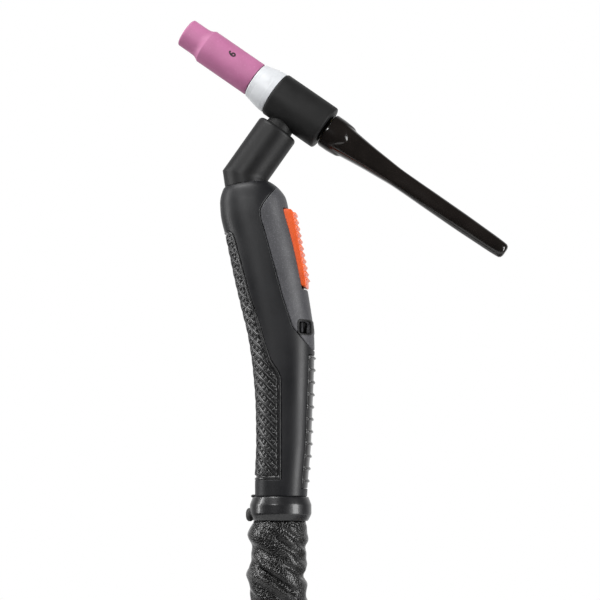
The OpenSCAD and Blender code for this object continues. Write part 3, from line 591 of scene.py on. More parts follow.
def hose_route():
    """From the cuff round to the coil, through it, and up over its top to the boot."""
    # three turns and a little more, in two layers; each turn moves over before the next one needs the room
    high = HOSE_Z + HOSE_D
    out_r, in_r = COIL_R
    keys_a = [0, 280, 340, 580, 640, 880, 940, COIL_DEGREES + LIFT_A]
    keys_r = [out_r, out_r, in_r, in_r, in_r, in_r, out_r, out_r]
    keys_z = [HOSE_Z, HOSE_Z, HOSE_Z, HOSE_Z, high, high, high, high]
    turn = np.arange(0, COIL_DEGREES + LIFT_A + 1, 6.0)
    seg = np.clip(np.searchsorted(keys_a, turn, side="right") - 1, 0, len(keys_a) - 2)
    share = (turn - np.take(keys_a, seg)) / (np.take(keys_a, seg + 1) - np.take(keys_a, seg))
    share = share * share * (3 - 2 * share)
    radius = np.take(keys_r, seg) * (1 - share) + np.take(keys_r, seg + 1) * share
    height = np.take(keys_z, seg) * (1 - share) + np.take(keys_z, seg + 1) * share
    coil = [ring_at(a, r, z) for a, r, z in zip(turn, radius, height)]
    lead = [tuple(CUFF_AT + (CUFF_LEN + 0.1) * CUFF_WAY), tuple(CUFF_AT + (CUFF_LEN + 5) * CUFF_WAY),
            (223, -9.5, -267.5)]
    lead += [(x, y, HOSE_Z) for x, y in (
        (200, -28), (171, -40), (141, -44), (110, -40), (82, -28), (58, -9), (39, 15), (27, 43), (23, 74),
        (24, 98))]
    rise = over_coil([ring_at(14, 114, TOP_Z - 6), ring_at(30, 111, TOP_Z + 3),
                      ring_at(46, 108, TOP_Z + 10.5), ring_at(BOOT_FROM, 106, BOOT_Z)])
    return lead + coil + rise


def make_cords():
    """The sleeve, the hose in its coil, and the two tails, each a mesh tube along its own route."""
    cord_piece("leather_tube", smooth_route(sleeve_route(), 1.1), SLEEVE_D, 110, LEATHER,
               ["leather_sleeve"], sleeve_wave)
    cord_piece("coiled_hose", smooth_route(hose_route(), 4.0), HOSE_D, 36, HOSE_RUBBER,
               ["hose_lead", "hose_coil", "hose_rise"])
    power = [POWER_FROM, POWER_FROM + 5 * BOOT_WAY]
    power += [np.array([x, y, TOP_Z + z]) for x, y, z in (
        (147.9, 236.6, 8), (157.8, 237.6, 8.8), (169, 236.5, 9.6), (180.1, 233.8, 10.1), (193.2, 228, 10.5),
        (206.5, 218, 11), (215.5, 207.3, 12), (220.3, 199.2, 12.8))]
    power += [POWER_TO - 4 * PLUG_WAY, POWER_TO]
    control = [CONTROL_FROM, CONTROL_FROM + 4 * BOOT_WAY]
    control += [np.array(ring_at(a, 124.6 - max(0, a - 128) * 0.05, TOP_Z + 2.8))
                for a in range(92, 189, 12)]
    control += [np.array([255.4, 84.5, TOP_Z + 6.8]), CONTROL_TO - 4 * SOCKET_WAY, CONTROL_TO]
    cord_piece("power_tail_cord", smooth_route(over_coil(power), 2.0), POWER_D, 28, HOSE_RUBBER,
               ["power_tail"])
    cord_piece("control_tail_cord", smooth_route(over_coil(control), 2.0), CONTROL_D, 28, CABLE_GREY,
               ["control_tail"])


make_cords()
finish_cad_nodes()


# ---- handle: one outline of oval sections, from the rim down to the foot ----
# height and middle, half depth, share of the half width, tilt in degrees
SECTIONS = np.array([
    (86.8, -18.9, 12.6, 0.76, 8.5), (84.8, -17.8, 14.6, 0.86, 8), (81.6, -16.5, 16.8, 0.93, 7),
    (77.4, -15.2, 18.4, 0.98, 6), (70, -14, 19, 1, 4.5), (57, -10.6, 19.4, 1, 2), (37, -6.2, 19.7, 0.99, 0),
    (18.5, -2.4, 19.2, 0.97, 0), (0, 0.9, 18.1, 0.95, 0), (-16, 2, 16.9, 0.93, 0), (-36, 2.4, 15.7, 0.9, 0),
    (-56, 2.2, 15.1, 0.88, 0), (-78, 0.9, 14.6, 0.86, 0), (-HANDLE_DOWN, 0.6, 14.3, 0.84, 0),
])
HALF_WIDTH = 17
OVAL_POWER = 2 / 0.82
UNROLL = 17          # mm of arc for a radian, where the surface is laid flat
# side-view outlines (x, z) of the control module's seam and of the grip's front edge
MODULE_SEAM = [(-1.8, 90), (-1.8, 83.2), (-5.4, 77.9), (-8.1, 74.1), (-9.6, 70.7), (-9, 65.6), (-6, 55.6),
               (3.2, 22.2), (6.4, 12.4), (8.3, 6.3), (16.6, -3.5), (30, -16)]
GRIP_EDGE = [(-34, 60), (-28.1, 60), (-25.2, 58), (-24.1, 55), (-15.3, 22.2), (-11.2, 11.7), (-6.9, -3.3),
             (-4, -12), (0, -18), (1.7, -22), (1.7, -77.6)]
STRIP_HALF = 9.5
STRIP_TOP, STRIP_BOTTOM = -9, -82
SLOT_TOP, SLOT_BOTTOM = 72.9, 27.6
LATCH = (14.7, 6.1)
WINDOW = (5.8, 6.9)
COVER_GAP = 0.25


def smooth_through(knots, values, at):
    """Monotone cubic through the values (Fritsch and Carlson)."""
    h = np.diff(knots)
    slope = np.diff(values) / h
    m = np.zeros(len(values))
    same = slope[:-1] * slope[1:] > 0
    w1, w2 = 2 * h[1:] + h[:-1], h[1:] + 2 * h[:-1]
    with np.errstate(divide="ignore", invalid="ignore"):
        inner = (w1 + w2) / (w1 / slope[:-1] + w2 / slope[1:])
    m[1:-1] = np.where(same, inner, 0)
    m[0], m[-1] = slope[0], slope[-1]
    at = np.clip(at, knots[0], knots[-1])
    i = np.clip(np.searchsorted(knots, at, side="right") - 1, 0, len(h) - 1)
    t = (at - knots[i]) / h[i]
    return ((1 + 2 * t) * (1 - t) ** 2 * values[i] + t * (1 - t) ** 2 * h[i] * m[i]
            + t * t * (3 - 2 * t) * values[i + 1] + t * t * (t - 1) * h[i] * m[i + 1])


STATIONS = travel(SECTIONS[:, :2])
FOOT = STATIONS[-1]


def section_at(t):
    return [smooth_through(STATIONS, SECTIONS[:, k], t) for k in range(5)]


def on_handle(t, phi):
    """Points of the handle's outline: t is mm down from the rim, phi the angle from the front."""
    z, middle, depth, share, tilt = section_at(t)
    width = HALF_WIDTH * share
    c, s = np.cos(phi), np.sin(phi)
    reach = (np.abs(c / depth) ** OVAL_POWER + np.abs(s / width) ** OVAL_POWER) ** (-1 / OVAL_POWER)
    across, side = reach * c, reach * s
    tilt = np.radians(tilt)
    return np.stack([middle + across * np.cos(tilt), side, z + across * np.sin(tilt)], -1)


def out_of_handle(t, phi, step=0.05):
    """Unit normals of the outline, pointing out."""
    lo, hi = np.clip(t - step, 0, FOOT), np.clip(t + step, 0, FOOT)
    down = on_handle(hi, phi) - on_handle(lo, phi)
    turn = on_handle(t, phi + step / UNROLL) - on_handle(t, phi - step / UNROLL)
    n = np.cross(turn, -down)
    return n / np.linalg.norm(n, axis=-1)[..., None]


def flat_of(x, z):
    """Where side-view points lie on the outline laid flat: (arc, t). Past its edge the arc stops."""
    x, z = np.asarray(x, float), np.asarray(z, float)
    table_t = np.linspace(0, FOOT, 1200)
    table_z = section_at(table_t)[0]
    t = np.interp(-z, -table_z, table_t)
    for _ in range(12):
        _, middle, depth, share, tilt = section_at(t)
        across = np.clip((x - middle) / np.cos(np.radians(tilt)), -depth, depth)
        t = np.interp(-(z - across * np.sin(np.radians(tilt))), -table_z, table_t)
    _, middle, depth, share, tilt = section_at(t)
    across = np.clip((x - middle) / np.cos(np.radians(tilt)), -depth, depth)
    side = HALF_WIDTH * share * (1 - np.abs(across / depth) ** OVAL_POWER) ** (1 / OVAL_POWER)
    return np.stack([np.arctan2(side, across) * UNROLL, t], -1)


def arc_at_side(side, z):
    """The flat place of front points that are side mm from the middle plane, at heights z."""
    z = np.asarray(z, float)
    phi = np.full_like(z, 0.5)
    t = flat_of(np.full_like(z, 30.0), z)[:, 1]
    for _ in range(30):
        y = on_handle(t, phi)[:, 1]
        slope = (on_handle(t, phi + 1e-4)[:, 1] - y) / 1e-4
        phi = np.clip(phi + (side - y) / slope, 0.02, 1.5)
        front = on_handle(t, phi)
        t = np.clip(t + front[:, 2] - z, 0, FOOT)
    return np.stack([phi * UNROLL, t], -1)


def softened(points, radius=1.2):
    """A side-view polyline with its corners rounded off."""
    return even(rounded_profile(points, radius, 7), 0.35)


def inside(points, loops):
    """Which flat points lie inside the loops, holes left out."""
    x, y = points[:, 0], points[:, 1]
    odd = np.zeros(len(points), bool)
    for loop in loops:
        for a, b in zip(loop, np.roll(loop, -1, axis=0)):
            if a[1] != b[1]:
                crosses = (a[1] > y) != (b[1] > y)
                odd ^= crosses & (x < (b[0] - a[0]) * (y - a[1]) / (b[1] - a[1]) + a[0])
    return odd


def flat_triangles(loops, spacing, rings):
    """A flat region filled with triangles: rows of points beside its edges, an even grid within."""
    border = np.vstack(loops)
    edges, first = [], 0
    for loop in loops:
        n = len(loop)
        edges += [(first + k, first + (k + 1) % n) for k in range(n)]
        first += n
    tree = kdtree.KDTree(len(border))
    for i, p in enumerate(border):
        tree.insert((*p, 0), i)
    tree.balance()
    extra = []
    for ring in rings:
        for loop in loops:
            ahead = np.roll(loop, -1, axis=0) - np.roll(loop, 1, axis=0)
            across = np.stack([-ahead[:, 1], ahead[:, 0]], 1)
            across /= np.maximum(np.linalg.norm(across, axis=1), 1e-9)[:, None]
            for side in (1, -1):
                moved = loop + side * ring * across
                moved = moved[inside(moved, loops)]
                extra += [q for q in moved if tree.find((*q, 0))[2] > ring * 0.93]
    low, high = border.min(0), border.max(0)
    gx, gy = np.meshgrid(np.arange(low[0], high[0], spacing), np.arange(low[1], high[1], spacing * 0.87))
    gx = gx + (np.arange(gx.shape[0]) % 2)[:, None] * spacing / 2
    grid = np.stack([gx.ravel(), gy.ravel()], 1)
    grid = grid[inside(grid, loops)]
    clear = (max(rings) if rings else 0) + spacing * 0.6
    extra += [q for q in grid if tree.find((*q, 0))[2] > clear]
    everything = np.vstack([border, np.array(extra).reshape(-1, 2)])
    found = delaunay_2d_cdt([Vector(p) for p in everything], edges, [], 0, 1e-7)
    spots = np.array([tuple(v) for v in found[0]])
    faces = np.array([f for f in found[2] if len(f) == 3])
    faces = faces[inside(spots[faces].mean(1), loops)]
    a, b, c = (spots[faces[:, k]] for k in range(3))
    backwards = (b[:, 0] - a[:, 0]) * (c[:, 1] - a[:, 1]) - (b[:, 1] - a[:, 1]) * (c[:, 0] - a[:, 0]) < 0
    faces[backwards] = faces[backwards][:, ::-1]
    was = {original: new for new, olds in enumerate(found[3]) for original in olds}
    borders, first = [], 0
    for loop in loops:
        borders.append([was[first + k] for k in range(len(loop))])
        first += len(loop)
    gap = np.array([tree.find((*p, 0))[2] for p in spots])
    return spots, faces, borders, gap


UNDER_SPACING = 3.0


def cover(name, loops, thickness, finish, spacing=1.0, edge=0.35, relief=None, side=1, replaces=()):
    """A closed shell that follows the handle's outline within flat loops. side -1 mirrors it."""
    rings = (0.12 * edge / 0.35, 0.3 * edge / 0.35, 0.6, 1.05)
    spots, faces, borders, gap = flat_triangles(loops, spacing, rings)
    phi, t = spots[:, 0] / UNROLL, spots[:, 1]
    skin, normal = on_handle(t, phi), out_of_handle(t, phi)
    drop = edge - np.sqrt(np.maximum(edge ** 2 - (edge - np.minimum(gap, edge)) ** 2, 0))
    lift = relief(spots[:, 0], skin, gap) if relief is not None else 0
    outer = skin + normal * (lift - drop)[:, None]
    in_spots, in_faces, in_borders, _ = flat_triangles(loops, UNDER_SPACING, ())
    in_phi, in_t = in_spots[:, 0] / UNROLL, in_spots[:, 1]
    under = on_handle(in_t, in_phi) - out_of_handle(in_t, in_phi) * thickness
    count = len(outer)
    # flat x grows with phi and flat y downwards, so a counter-clockwise triangle there points inwards
    all_faces = [tuple(f[::-1]) for f in faces] + [tuple(count + f) for f in in_faces]
    for loop, in_loop in zip(borders, in_borders):
        n = len(loop)
        turn = loop_area(spots[loop]) > 0
        for k in range(n):
            a, b = loop[k], loop[(k + 1) % n]
            c, d = count + in_loop[(k + 1) % n], count + in_loop[k]
            all_faces.append((a, b, c, d) if turn else (d, c, b, a))
    points = np.vstack([outer, under])
    if side < 0:
        points[:, 1] *= -1
        all_faces = [f[::-1] for f in all_faces]
    rim = np.concatenate([gap, np.zeros(len(under))])
    piece = mesh_piece(name, points, all_faces, finish, "handle", 50, {"rim_mm": rim})
    face_outwards(piece)
    if replaces:
        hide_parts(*replaces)
    return piece


def loop_area(loop):
    x, y = loop[:, 0], loop[:, 1]
    return 0.5 * float(np.sum(x * np.roll(y, -1) - np.roll(x, -1) * y))


def face_outwards(piece):
    """Turns a closed mesh's faces out if they all point in."""
    mesh = piece.data
    mesh.calc_loop_triangles()
    p = np.empty(len(mesh.vertices) * 3)
    mesh.vertices.foreach_get("co", p)
    p = p.reshape(-1, 3)
    tri = np.empty(len(mesh.loop_triangles) * 3, int)
    mesh.loop_triangles.foreach_get("vertices", tri)
    a, b, c = (p[tri.reshape(-1, 3)[:, k]] for k in range(3))
    if np.einsum("ij,ij->i", a, np.cross(b, c)).sum() < 0:
        mesh.flip_normals()


HALF_TURN = math.pi * UNROLL


def shell_loop():
    """The shell's flat outline on one side, round the module, the front strip and the grip."""
    seam = softened([(x - COVER_GAP, z) for x, z in MODULE_SEAM], 1.0)
    seam_flat = flat_of(seam[:, 0], seam[:, 1])
    keep = (seam_flat[:, 1] > 0.01) & (seam_flat[:, 0] > 0.05)
    seam_flat = seam_flat[keep]
    seam_flat[0, 1] = 0
    strip = even([(0, STRIP_TOP + COVER_GAP), (0, STRIP_BOTTOM - COVER_GAP)])
    strip_flat = arc_at_side(STRIP_HALF + COVER_GAP, strip[:, 1])
    grip = softened([(x + COVER_GAP, z) for x, z in GRIP_EDGE], 1.5)[::-1]
    grip_flat = flat_of(grip[:, 0], grip[:, 1])
    grip_flat = grip_flat[grip_flat[:, 0] < HALF_TURN - 0.05]
    tip_t, top_t, low_t = seam_flat[-1, 1], strip_flat[0, 1], strip_flat[-1, 1]
    foot_t, grip_low, grip_high = FOOT, grip_flat[0, 1], grip_flat[-1, 1]
    parts = [
        even([(seam_flat[-1, 0], tip_t), (0, tip_t + 0.1)]), even([(0, tip_t + 0.1), (0, top_t)]),
        even([(0, top_t), strip_flat[0]]), strip_flat, even([strip_flat[-1], (0, low_t)]),
        even([(0, low_t), (0, foot_t)]), even([(0, foot_t), (HALF_TURN, foot_t)]),
        even([(HALF_TURN, foot_t), (HALF_TURN, grip_low)]), even([(HALF_TURN, grip_low), grip_flat[0]]),
        grip_flat, even([grip_flat[-1], (HALF_TURN, grip_high)]),
        even([(HALF_TURN, grip_high), (HALF_TURN, 0)]), even([(HALF_TURN, 0), seam_flat[0]]), seam_flat,
    ]
    return without_doubles(np.vstack(parts))


def without_doubles(loop):
    away = np.linalg.norm(loop - np.roll(loop, 1, axis=0), axis=1) > 0.02
    return loop[away]


def both_sides(points):
    """A half outline from front to front, joined to its mirror image about the front line."""
    return np.vstack([points, (points * (-1, 1))[::-1]])


def window_loop(grow, corner):
    """The latch window's flat outline, grow mm wider all round, with its corners rounded."""
    half_x, half_z = WINDOW[0] / 2 + grow, WINDOW[1] / 2 + grow
    corners = [(LATCH[0] + sx * half_x, LATCH[1] + sz * half_z) for sx, sz in
               ((0, 1), (1, 1), (1, -1), (-1, -1), (-1, 1), (0, 1))]
    rounded = even(rounded_profile(corners, corner, 6), 0.35)
    return without_doubles(flat_of(rounded[:, 0], rounded[:, 1]))


def module_loops():
    seam = softened(MODULE_SEAM, 1.0)
    flat = flat_of(seam[:, 0], seam[:, 1])
    flat = flat[(flat[:, 1] > 0.01) & (flat[:, 0] > 0.05)]
    flat[0, 1] = 0
    outline = np.vstack([even([(0, 0), flat[0]]), flat])
    slot_side = arc_at_side(STRIP_HALF, even([(0, SLOT_TOP), (0, SLOT_BOTTOM)])[:, 1])
    slot = np.vstack([even([(0, slot_side[0, 1]), slot_side[0]]), slot_side,
                      even([slot_side[-1], (0, slot_side[-1, 1])])])
    window = window_loop(0.0, 1.5)
    return [without_doubles(both_sides(outline)), without_doubles(both_sides(slot)), window, window * (-1, 1)]


RIB_SLOPE = math.radians(42)
RIB_PITCH = 6.1 * math.cos(RIB_SLOPE)
BLOCK_PITCH = 3.0


def knurl(arc, skin, gap):
    """Broad diagonal ribs with stepped blocks between them, inside a plain bevelled rim and its groove."""
    right, up = arc, skin[:, 2]
    across = (up * math.cos(RIB_SLOPE) + right * math.sin(RIB_SLOPE)) / RIB_PITCH
    along_rib = (right * math.cos(RIB_SLOPE) - up * math.sin(RIB_SLOPE)) / BLOCK_PITCH
    u = across % 1
    v = (along_rib + 0.5 * np.floor(across)) % 1
    rib = np.clip(1 - np.abs((u - 0.23) / 0.23) ** 2.6, 0, 1)
    block = smooth_steps(u, 0.45, 0.58) * (1 - smooth_steps(u, 0.86, 0.99))
    block = block * smooth_steps(v, 0.02, 0.2) * (1 - smooth_steps(v, 0.76, 0.94))
    field = np.maximum(0.85 * rib, block * (0.45 + 0.3 * v))
    rim = 0.75 * (1 - smooth_steps(gap, 1.0, 1.7)) - 0.1 * hump(gap, 2.2, 0.45)
    return np.where(gap < 2.2, rim, rim + field * smooth_steps(gap, 2.2, 2.9)) - 0.6


def grip_loop():
    edge = softened(GRIP_EDGE, 1.5)
    flat = flat_of(edge[:, 0], edge[:, 1])
    flat = flat[flat[:, 0] < HALF_TURN - 0.05]
    half = np.vstack([even([(HALF_TURN, flat[0, 1]), flat[0]]), flat,
                      even([flat[-1], (HALF_TURN, flat[-1, 1])])])
    mirrored = half[::-1].copy()
    mirrored[:, 0] = 2 * HALF_TURN - mirrored[:, 0]
    return without_doubles(np.vstack([half, mirrored]))


RIB_STEP = 6.8
RIB_COUNT = 11


def strip_ribs(arc, skin, gap):
    """Cross ribs on the front strip, higher along their lower edge."""
    z = skin[:, 2]
    out = np.zeros_like(z)
    for i in range(RIB_COUNT):
        middle = STRIP_TOP - 1.0 - i * RIB_STEP
        rib = smooth_steps(z, middle - 1.1, middle - 0.5) * (1 - smooth_steps(z, middle, middle + 1.3))
        out = np.maximum(out, rib)
    return 0.95 * out * smooth_steps(gap, 0.3, 1.2) - 0.1


def strip_loop():
    side = arc_at_side(STRIP_HALF, even([(0, STRIP_TOP), (0, STRIP_BOTTOM)])[:, 1])
    half = np.vstack([even([(0, side[0, 1]), side[0]]), side, even([side[-1], (0, side[-1, 1])])])
    return without_doubles(both_sides(half))


def make_handle():
    shell = shell_loop()
    for side, name in ((-1, "near"), (1, "far")):
        cover("shell_" + name, [shell], 3.0, BLACK_SHELL, 1.1, 0.55, side=side,
              replaces=["handle_shell_" + name])
    cover("module_cover", module_loops(), 2.2, GREY_MODULE, 1.0, 0.55,
          replaces=["control_module"])
    cover("knurled_grip", [grip_loop()], 1.6, GRIP_RUBBER, 0.36, 0.3, knurl,
          replaces=["grip_inlay"])
    cover("ribbed_strip", [strip_loop()], 1.6, GRIP_RUBBER, 0.45, 0.3, strip_ribs,
          replaces=["front_strip"])


make_handle()


# ---- head, nozzle and back cap ----
NECK_LEAN, NECK_BEND = 8.5, 43.8
RIM_TO_BEND = 5.2
HEAD_REACH = 47.5
HEAD_FRONT, HEAD_REAR = 12.9, 21.4
GASKET_REAR = -13.0
GASKET_FRONT = -26.5
NOZZLE_REAR = -26.9
NOZZLE_TIP = -74.5
CAP_BASE = 23.0
CAP_LEN = 120.4
NOZZLE_R = 10
MOUTH_R = 8.3
BORE_R = 4.9
GASKET_R = 12.5
BARREL_R = 13
NUMERAL_SIZE = 1.1


def tilted(degrees):
    a = math.radians(degrees)
    return Vector((math.sin(a), 0, math.cos(a)))


BEND_POINT = Vector((SECTIONS[0][1], 0, SECTIONS[0][0])) + RIM_TO_BEND * tilted(-NECK_LEAN)
HEAD_POINT = BEND_POINT + HEAD_REACH * tilted(NECK_BEND - NECK_LEAN)
HEAD_AXIS = tilted(NECK_BEND - NECK_LEAN + 90)
AT_HEAD = along(HEAD_POINT, HEAD_AXIS)
STUB = along(HEAD_POINT, -tilted(NECK_BEND - NECK_LEAN))


def cap_wave(radius, height, angle):
    """Four long flats that start behind rounded lobes near the cap's base and die away along it."""
    beat = 0.5 + 0.5 * np.cos(4 * angle)
    start = 6.5 + 5.5 * beat
    h = height - CAP_BASE
    depth = 0.85 * smooth_steps(h, start, start + 2.6) * (1 - smooth_steps(h, 40, 100)) * beat ** 0.8
    return radius - np.where(radius > 4.2, depth, 0)


def gasket_wave(radius, height, angle):
    """Fine turning marks and two faint grooves."""
    h = height - GASKET_FRONT
    marks = 0.008 * np.sin(9 * h) - 0.06 * hump(h, 3.2, 0.5) - 0.05 * hump(h, 9.6, 0.4)
    return radius + np.where(radius > 8, marks, 0)


def make_numeral():
    """The size number fired on the nozzle's side, as a thin raised line that follows the surface."""
    bowl = [(0.85 * math.cos(t), 0.85 * math.sin(t) - 0.75) for t in np.linspace(math.pi, 3.2 * math.pi, 30)]
    stem = [(0.75, 1.45), (0.35, 1.65), (-0.15, 1.45), (-0.6, 0.8), (-0.82, 0.05)]
    line = even(smooth_route([(x, y, 0) for x, y in stem + bowl], 0.1)[:, :2], 0.1)
    middle_h, middle_a, r = -44.3, math.radians(247), NOZZLE_R + 0.02
    angle = middle_a - NUMERAL_SIZE * line[:, 0] / r
    path = np.stack([r * np.cos(angle), r * np.sin(angle), middle_h - NUMERAL_SIZE * line[:, 1]], 1)
    sides = 8
    points, faces, _ = tube(path, 0.5, sides)
    # the round line is pressed flat towards the surface, to a quarter of its height
    line_points = path.repeat(sides, 0)
    out = line_points * (1, 1, 0)
    out /= np.linalg.norm(out, axis=1)[:, None]
    lift = ((points - line_points) * out).sum(1)
    points = points - out * (lift * 0.75)[:, None]
    mesh_piece("nozzle_numeral", placed(points, AT_HEAD), faces, INK, "nozzle", 60)


def make_nozzle():
    flare = [(MOUTH_R + 0.05 + 1.4 * t ** 2.4, NOZZLE_TIP + 9.2 + 4.6 * t) for t in np.linspace(0, 1, 12)]
    profile = [(7.0, NOZZLE_REAR), (9.4, NOZZLE_REAR), (9.82, NOZZLE_REAR - 0.18),
               (NOZZLE_R, NOZZLE_REAR - 0.6)]
    profile += [(NOZZLE_R, h) for h in np.linspace(NOZZLE_REAR - 3, NOZZLE_TIP + 14.4, 12)]
    profile += [(NOZZLE_R - 0.05, NOZZLE_TIP + 14.15)] + flare[::-1]
    profile += [(MOUTH_R, h) for h in (NOZZLE_TIP + 8, NOZZLE_TIP + 5, NOZZLE_TIP + 2, NOZZLE_TIP + 0.8)]
    profile += [(MOUTH_R - 0.15, NOZZLE_TIP + 0.3), (MOUTH_R - 0.55, NOZZLE_TIP), (5.5, NOZZLE_TIP),
                (BORE_R + 0.15, NOZZLE_TIP + 0.15), (BORE_R, NOZZLE_TIP + 0.6), (BORE_R, NOZZLE_TIP + 15),
                (7.0, NOZZLE_TIP + 19)]
    turned("ceramic_nozzle", profile, AT_HEAD, ALUMINA, "nozzle", ["nozzle"], sharp=50)


def make_gasket():
    """Wide against the head, narrowing in a soft curve to the nozzle."""
    depths = np.linspace(0.8, 12.9, 60)
    radii = np.interp(depths, [0, 3, 6, 9, 12.5], [GASKET_R, 12.4, 11.9, 11.2, 10.4])
    outer = [(12.0, GASKET_REAR), (12.35, GASKET_REAR - 0.15), (GASKET_R, GASKET_REAR - 0.6)]
    outer += list(zip(radii, GASKET_REAR - depths))
    outer += [(10.0, GASKET_FRONT), (7.4, GASKET_FRONT), (7.4, GASKET_REAR)]
    turned("turned_gasket", outer, AT_HEAD, GASKET, "gasket", ["cup_gasket"],
           wave=gasket_wave)


def make_head():
    """The barrel and the stub that it swivels on."""
    corners = [(8.25, -HEAD_FRONT), (BARREL_R, -HEAD_FRONT), (BARREL_R, HEAD_REAR), (8.25, HEAD_REAR)]
    barrel = rounded_profile(corners, 1.3, 7)
    turned("head_barrel", barrel, AT_HEAD, BLACK_HEAD, "head", ["head_body"], sharp=60)
    stub = rounded_profile([(6.05, 9), (6.6, 9), (7.7, 12.4), (8, 14.6), (8, 17.7), (6.05, 17.7)], 1.2, 5)
    turned("swivel_stub", stub, STUB, BLACK_HEAD, "head", [])


def make_cap():
    """A long taper with a rounded end, hollow for the electrode's tail."""
    shape = np.array([
        (10, 0.9), (10, 5), (9.75, 9), (9.1, 14), (8.3, 21), (7.5, 29), (6.8, 38), (6.1, 48), (5.9, 58),
        (5.7, 70), (5.5, 78), (5.25, 90), (4.95, 102), (4.75, 112), (4.5, 117),
    ])
    heights = np.linspace(shape[0, 1], shape[-1, 1], 140)
    radii = smooth_through(shape[:, 1], shape[:, 0], heights)
    cap = [(2.2, -11), (5.2, -11), (5.2, -0.1), (9.2, 0), (9.75, 0.25)]
    cap += list(zip(radii, heights))
    cap += [(4.3, 118.8), (3.6, 119.9), (2.4, CAP_LEN)]
    cap += [(0.06, CAP_LEN), (0.06, CAP_LEN - 6), (2.2, CAP_LEN - 8)]
    cap = [(r, h + CAP_BASE) for r, h in cap]
    turned("fluted_cap", cap, AT_HEAD, CAP_GLOSS, "back_cap", ["back_cap"], 160, cap_wave,
           sharp=60)


NECK_R, NECK_BORE = 12, 8.3
NECK_TOP = 32.5
NECK_RIM = 2.2          # height of the upper rim's rounding
NECK_FOOT = 0.4 - RIM_TO_BEND


def make_elbow():
    """Two straight legs that meet in a softened mitre, hollow, with a rounded upper rim."""
    turns = 128
    angle = np.arange(turns) * 2 * np.pi / turns
    half_bend = math.tan(math.radians(NECK_BEND / 2))
    lower = along(BEND_POINT, tilted(-NECK_LEAN))
    upper = along(BEND_POINT, tilted(NECK_BEND - NECK_LEAN))
    rows = []

    def leg(where, r, start, end, shares):
        """Rows from height start to end, where None is the mitre; the legs' frames face opposite ways."""
        a = angle + (math.pi if where is lower else 0)
        for share in shares:
            mitre = r * np.cos(a) * half_bend
            low = mitre if start is None else np.full(turns, float(start))
            high = mitre if end is None else np.full(turns, float(end))
            h = low + (high - low) * share
            rows.append(placed(np.stack([r * np.cos(a), r * np.sin(a), h], 1), where))

    shares = np.linspace(0, 1, 14)
    rim_start = NECK_TOP - NECK_RIM
    leg(lower, NECK_R, NECK_FOOT, None, shares)
    leg(upper, NECK_R, None, rim_start, shares[1:])
    for t in np.linspace(0.15, 1, 7) * math.pi / 2:
        leg(upper, NECK_R - 2.0 * (1 - math.cos(t)), 0, rim_start + NECK_RIM * math.sin(t), [1.0])
    leg(upper, NECK_BORE, NECK_TOP, None, shares)
    leg(lower, NECK_BORE, None, NECK_FOOT, shares[1:])
    faces = rows_to_faces(len(rows), turns, True).tolist() + ring_seam(len(rows), turns)
    elbow = mesh_piece("mitred_elbow", np.vstack(rows), faces, BLACK_NECK, "neck", 38)
    face_outwards(elbow)
    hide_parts("neck_elbow")


# ---- trigger, latches, collar ----
TRIGGER_HALF = 9.2
TRIGGER_TOP, TRIGGER_LOW = np.array([8.3, 69.8]), np.array([15.2, 33.2])
RIDGES = 10
RIDGE_HEIGHT = 1.1


def make_trigger():
    """A rounded blade with cross ridges on its front."""
    count = 160
    share = np.linspace(0, 1, count)
    front = TRIGGER_TOP + (TRIGGER_LOW - TRIGGER_TOP) * share[:, None]
    rest = [(15.4, 28.3), (11.8, 29.6), (8.6, 35.2), (1.1, 60.8), (-2.0, 65.9), (-2.0, 72.3), (6.9, 72.3)]
    back = rounded_profile([tuple(TRIGGER_LOW)] + rest + [tuple(TRIGGER_TOP)], 1.4, 6)
    loop = np.vstack([front, even(back, 0.7)[1:-1]])
    crest = np.zeros(len(loop))
    crest[:count] = np.clip(np.cos(2 * np.pi * RIDGES * share), 0, 1) ** 0.7
    ahead = np.roll(loop, -1, axis=0) - np.roll(loop, 1, axis=0)
    normal = np.stack([-ahead[:, 1], ahead[:, 0]], 1)
    normal /= np.linalg.norm(normal, axis=1)[:, None]
    if normal[0, 0] < 0:
        normal = -normal
    edge, half = 1.0, TRIGGER_HALF
    stations = [in_by - half for in_by in (0, 0.1, 0.3, 0.6, 1.0, 2.2)]
    stations += list(np.linspace(3.5 - half, half - 3.5, 7)) + [-y for y in stations[::-1]]
    rows, numbers = [], []
    for y in stations:
        gap = half - abs(y)
        inset = edge - math.sqrt(max(edge ** 2 - (edge - min(gap, edge)) ** 2, 0))
        lift = RIDGE_HEIGHT * crest * float(smooth_steps(gap, 0.1, 1.2))
        moved = loop + normal * (lift - inset)[:, None]
        rows.append(np.stack([moved[:, 0], np.full(len(loop), y), moved[:, 1]], 1))
        numbers.append(crest * float(smooth_steps(gap, 0.0, 1.0)))
    faces = rows_to_faces(len(stations), len(loop), True).tolist() + end_caps(len(stations), len(loop))
    blade = mesh_piece("ridged_trigger", np.vstack(rows), faces, ORANGE, "trigger", 55,
                       {"crest": np.concatenate(numbers)})
    face_outwards(blade)
    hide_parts("trigger")


def raised(arc, skin, gap):
    return np.full(len(gap), 0.35)


def make_latches():
    """A raised frame round each latch window, and the dark walls behind the windows and the slot."""
    for side, name in ((-1, "near"), (1, "far")):
        loops = [window_loop(0.95, 2.2), window_loop(0.0, 1.5)]
        cover("latch_frame_" + name, loops, 1.2, BLACK_NECK, 0.6, 0.3, raised, side)
    sides = [(0, 1, 3, 2), (4, 6, 7, 5), (0, 4, 5, 1), (2, 3, 7, 6), (0, 2, 6, 4), (1, 5, 7, 3)]
    for name, xs, ys, zs in (("slot_backing", (4.6, 5.6), (-12, 12), (23, 38)),
                             ("latch_backing", (12, 16), (-5, 5), (1.2, 11))):
        box = [(x, y, z) for x in xs for y in ys for z in zs]
        face_outwards(mesh_piece(name, box, sides, SEAL_RUBBER, "handle", 30))


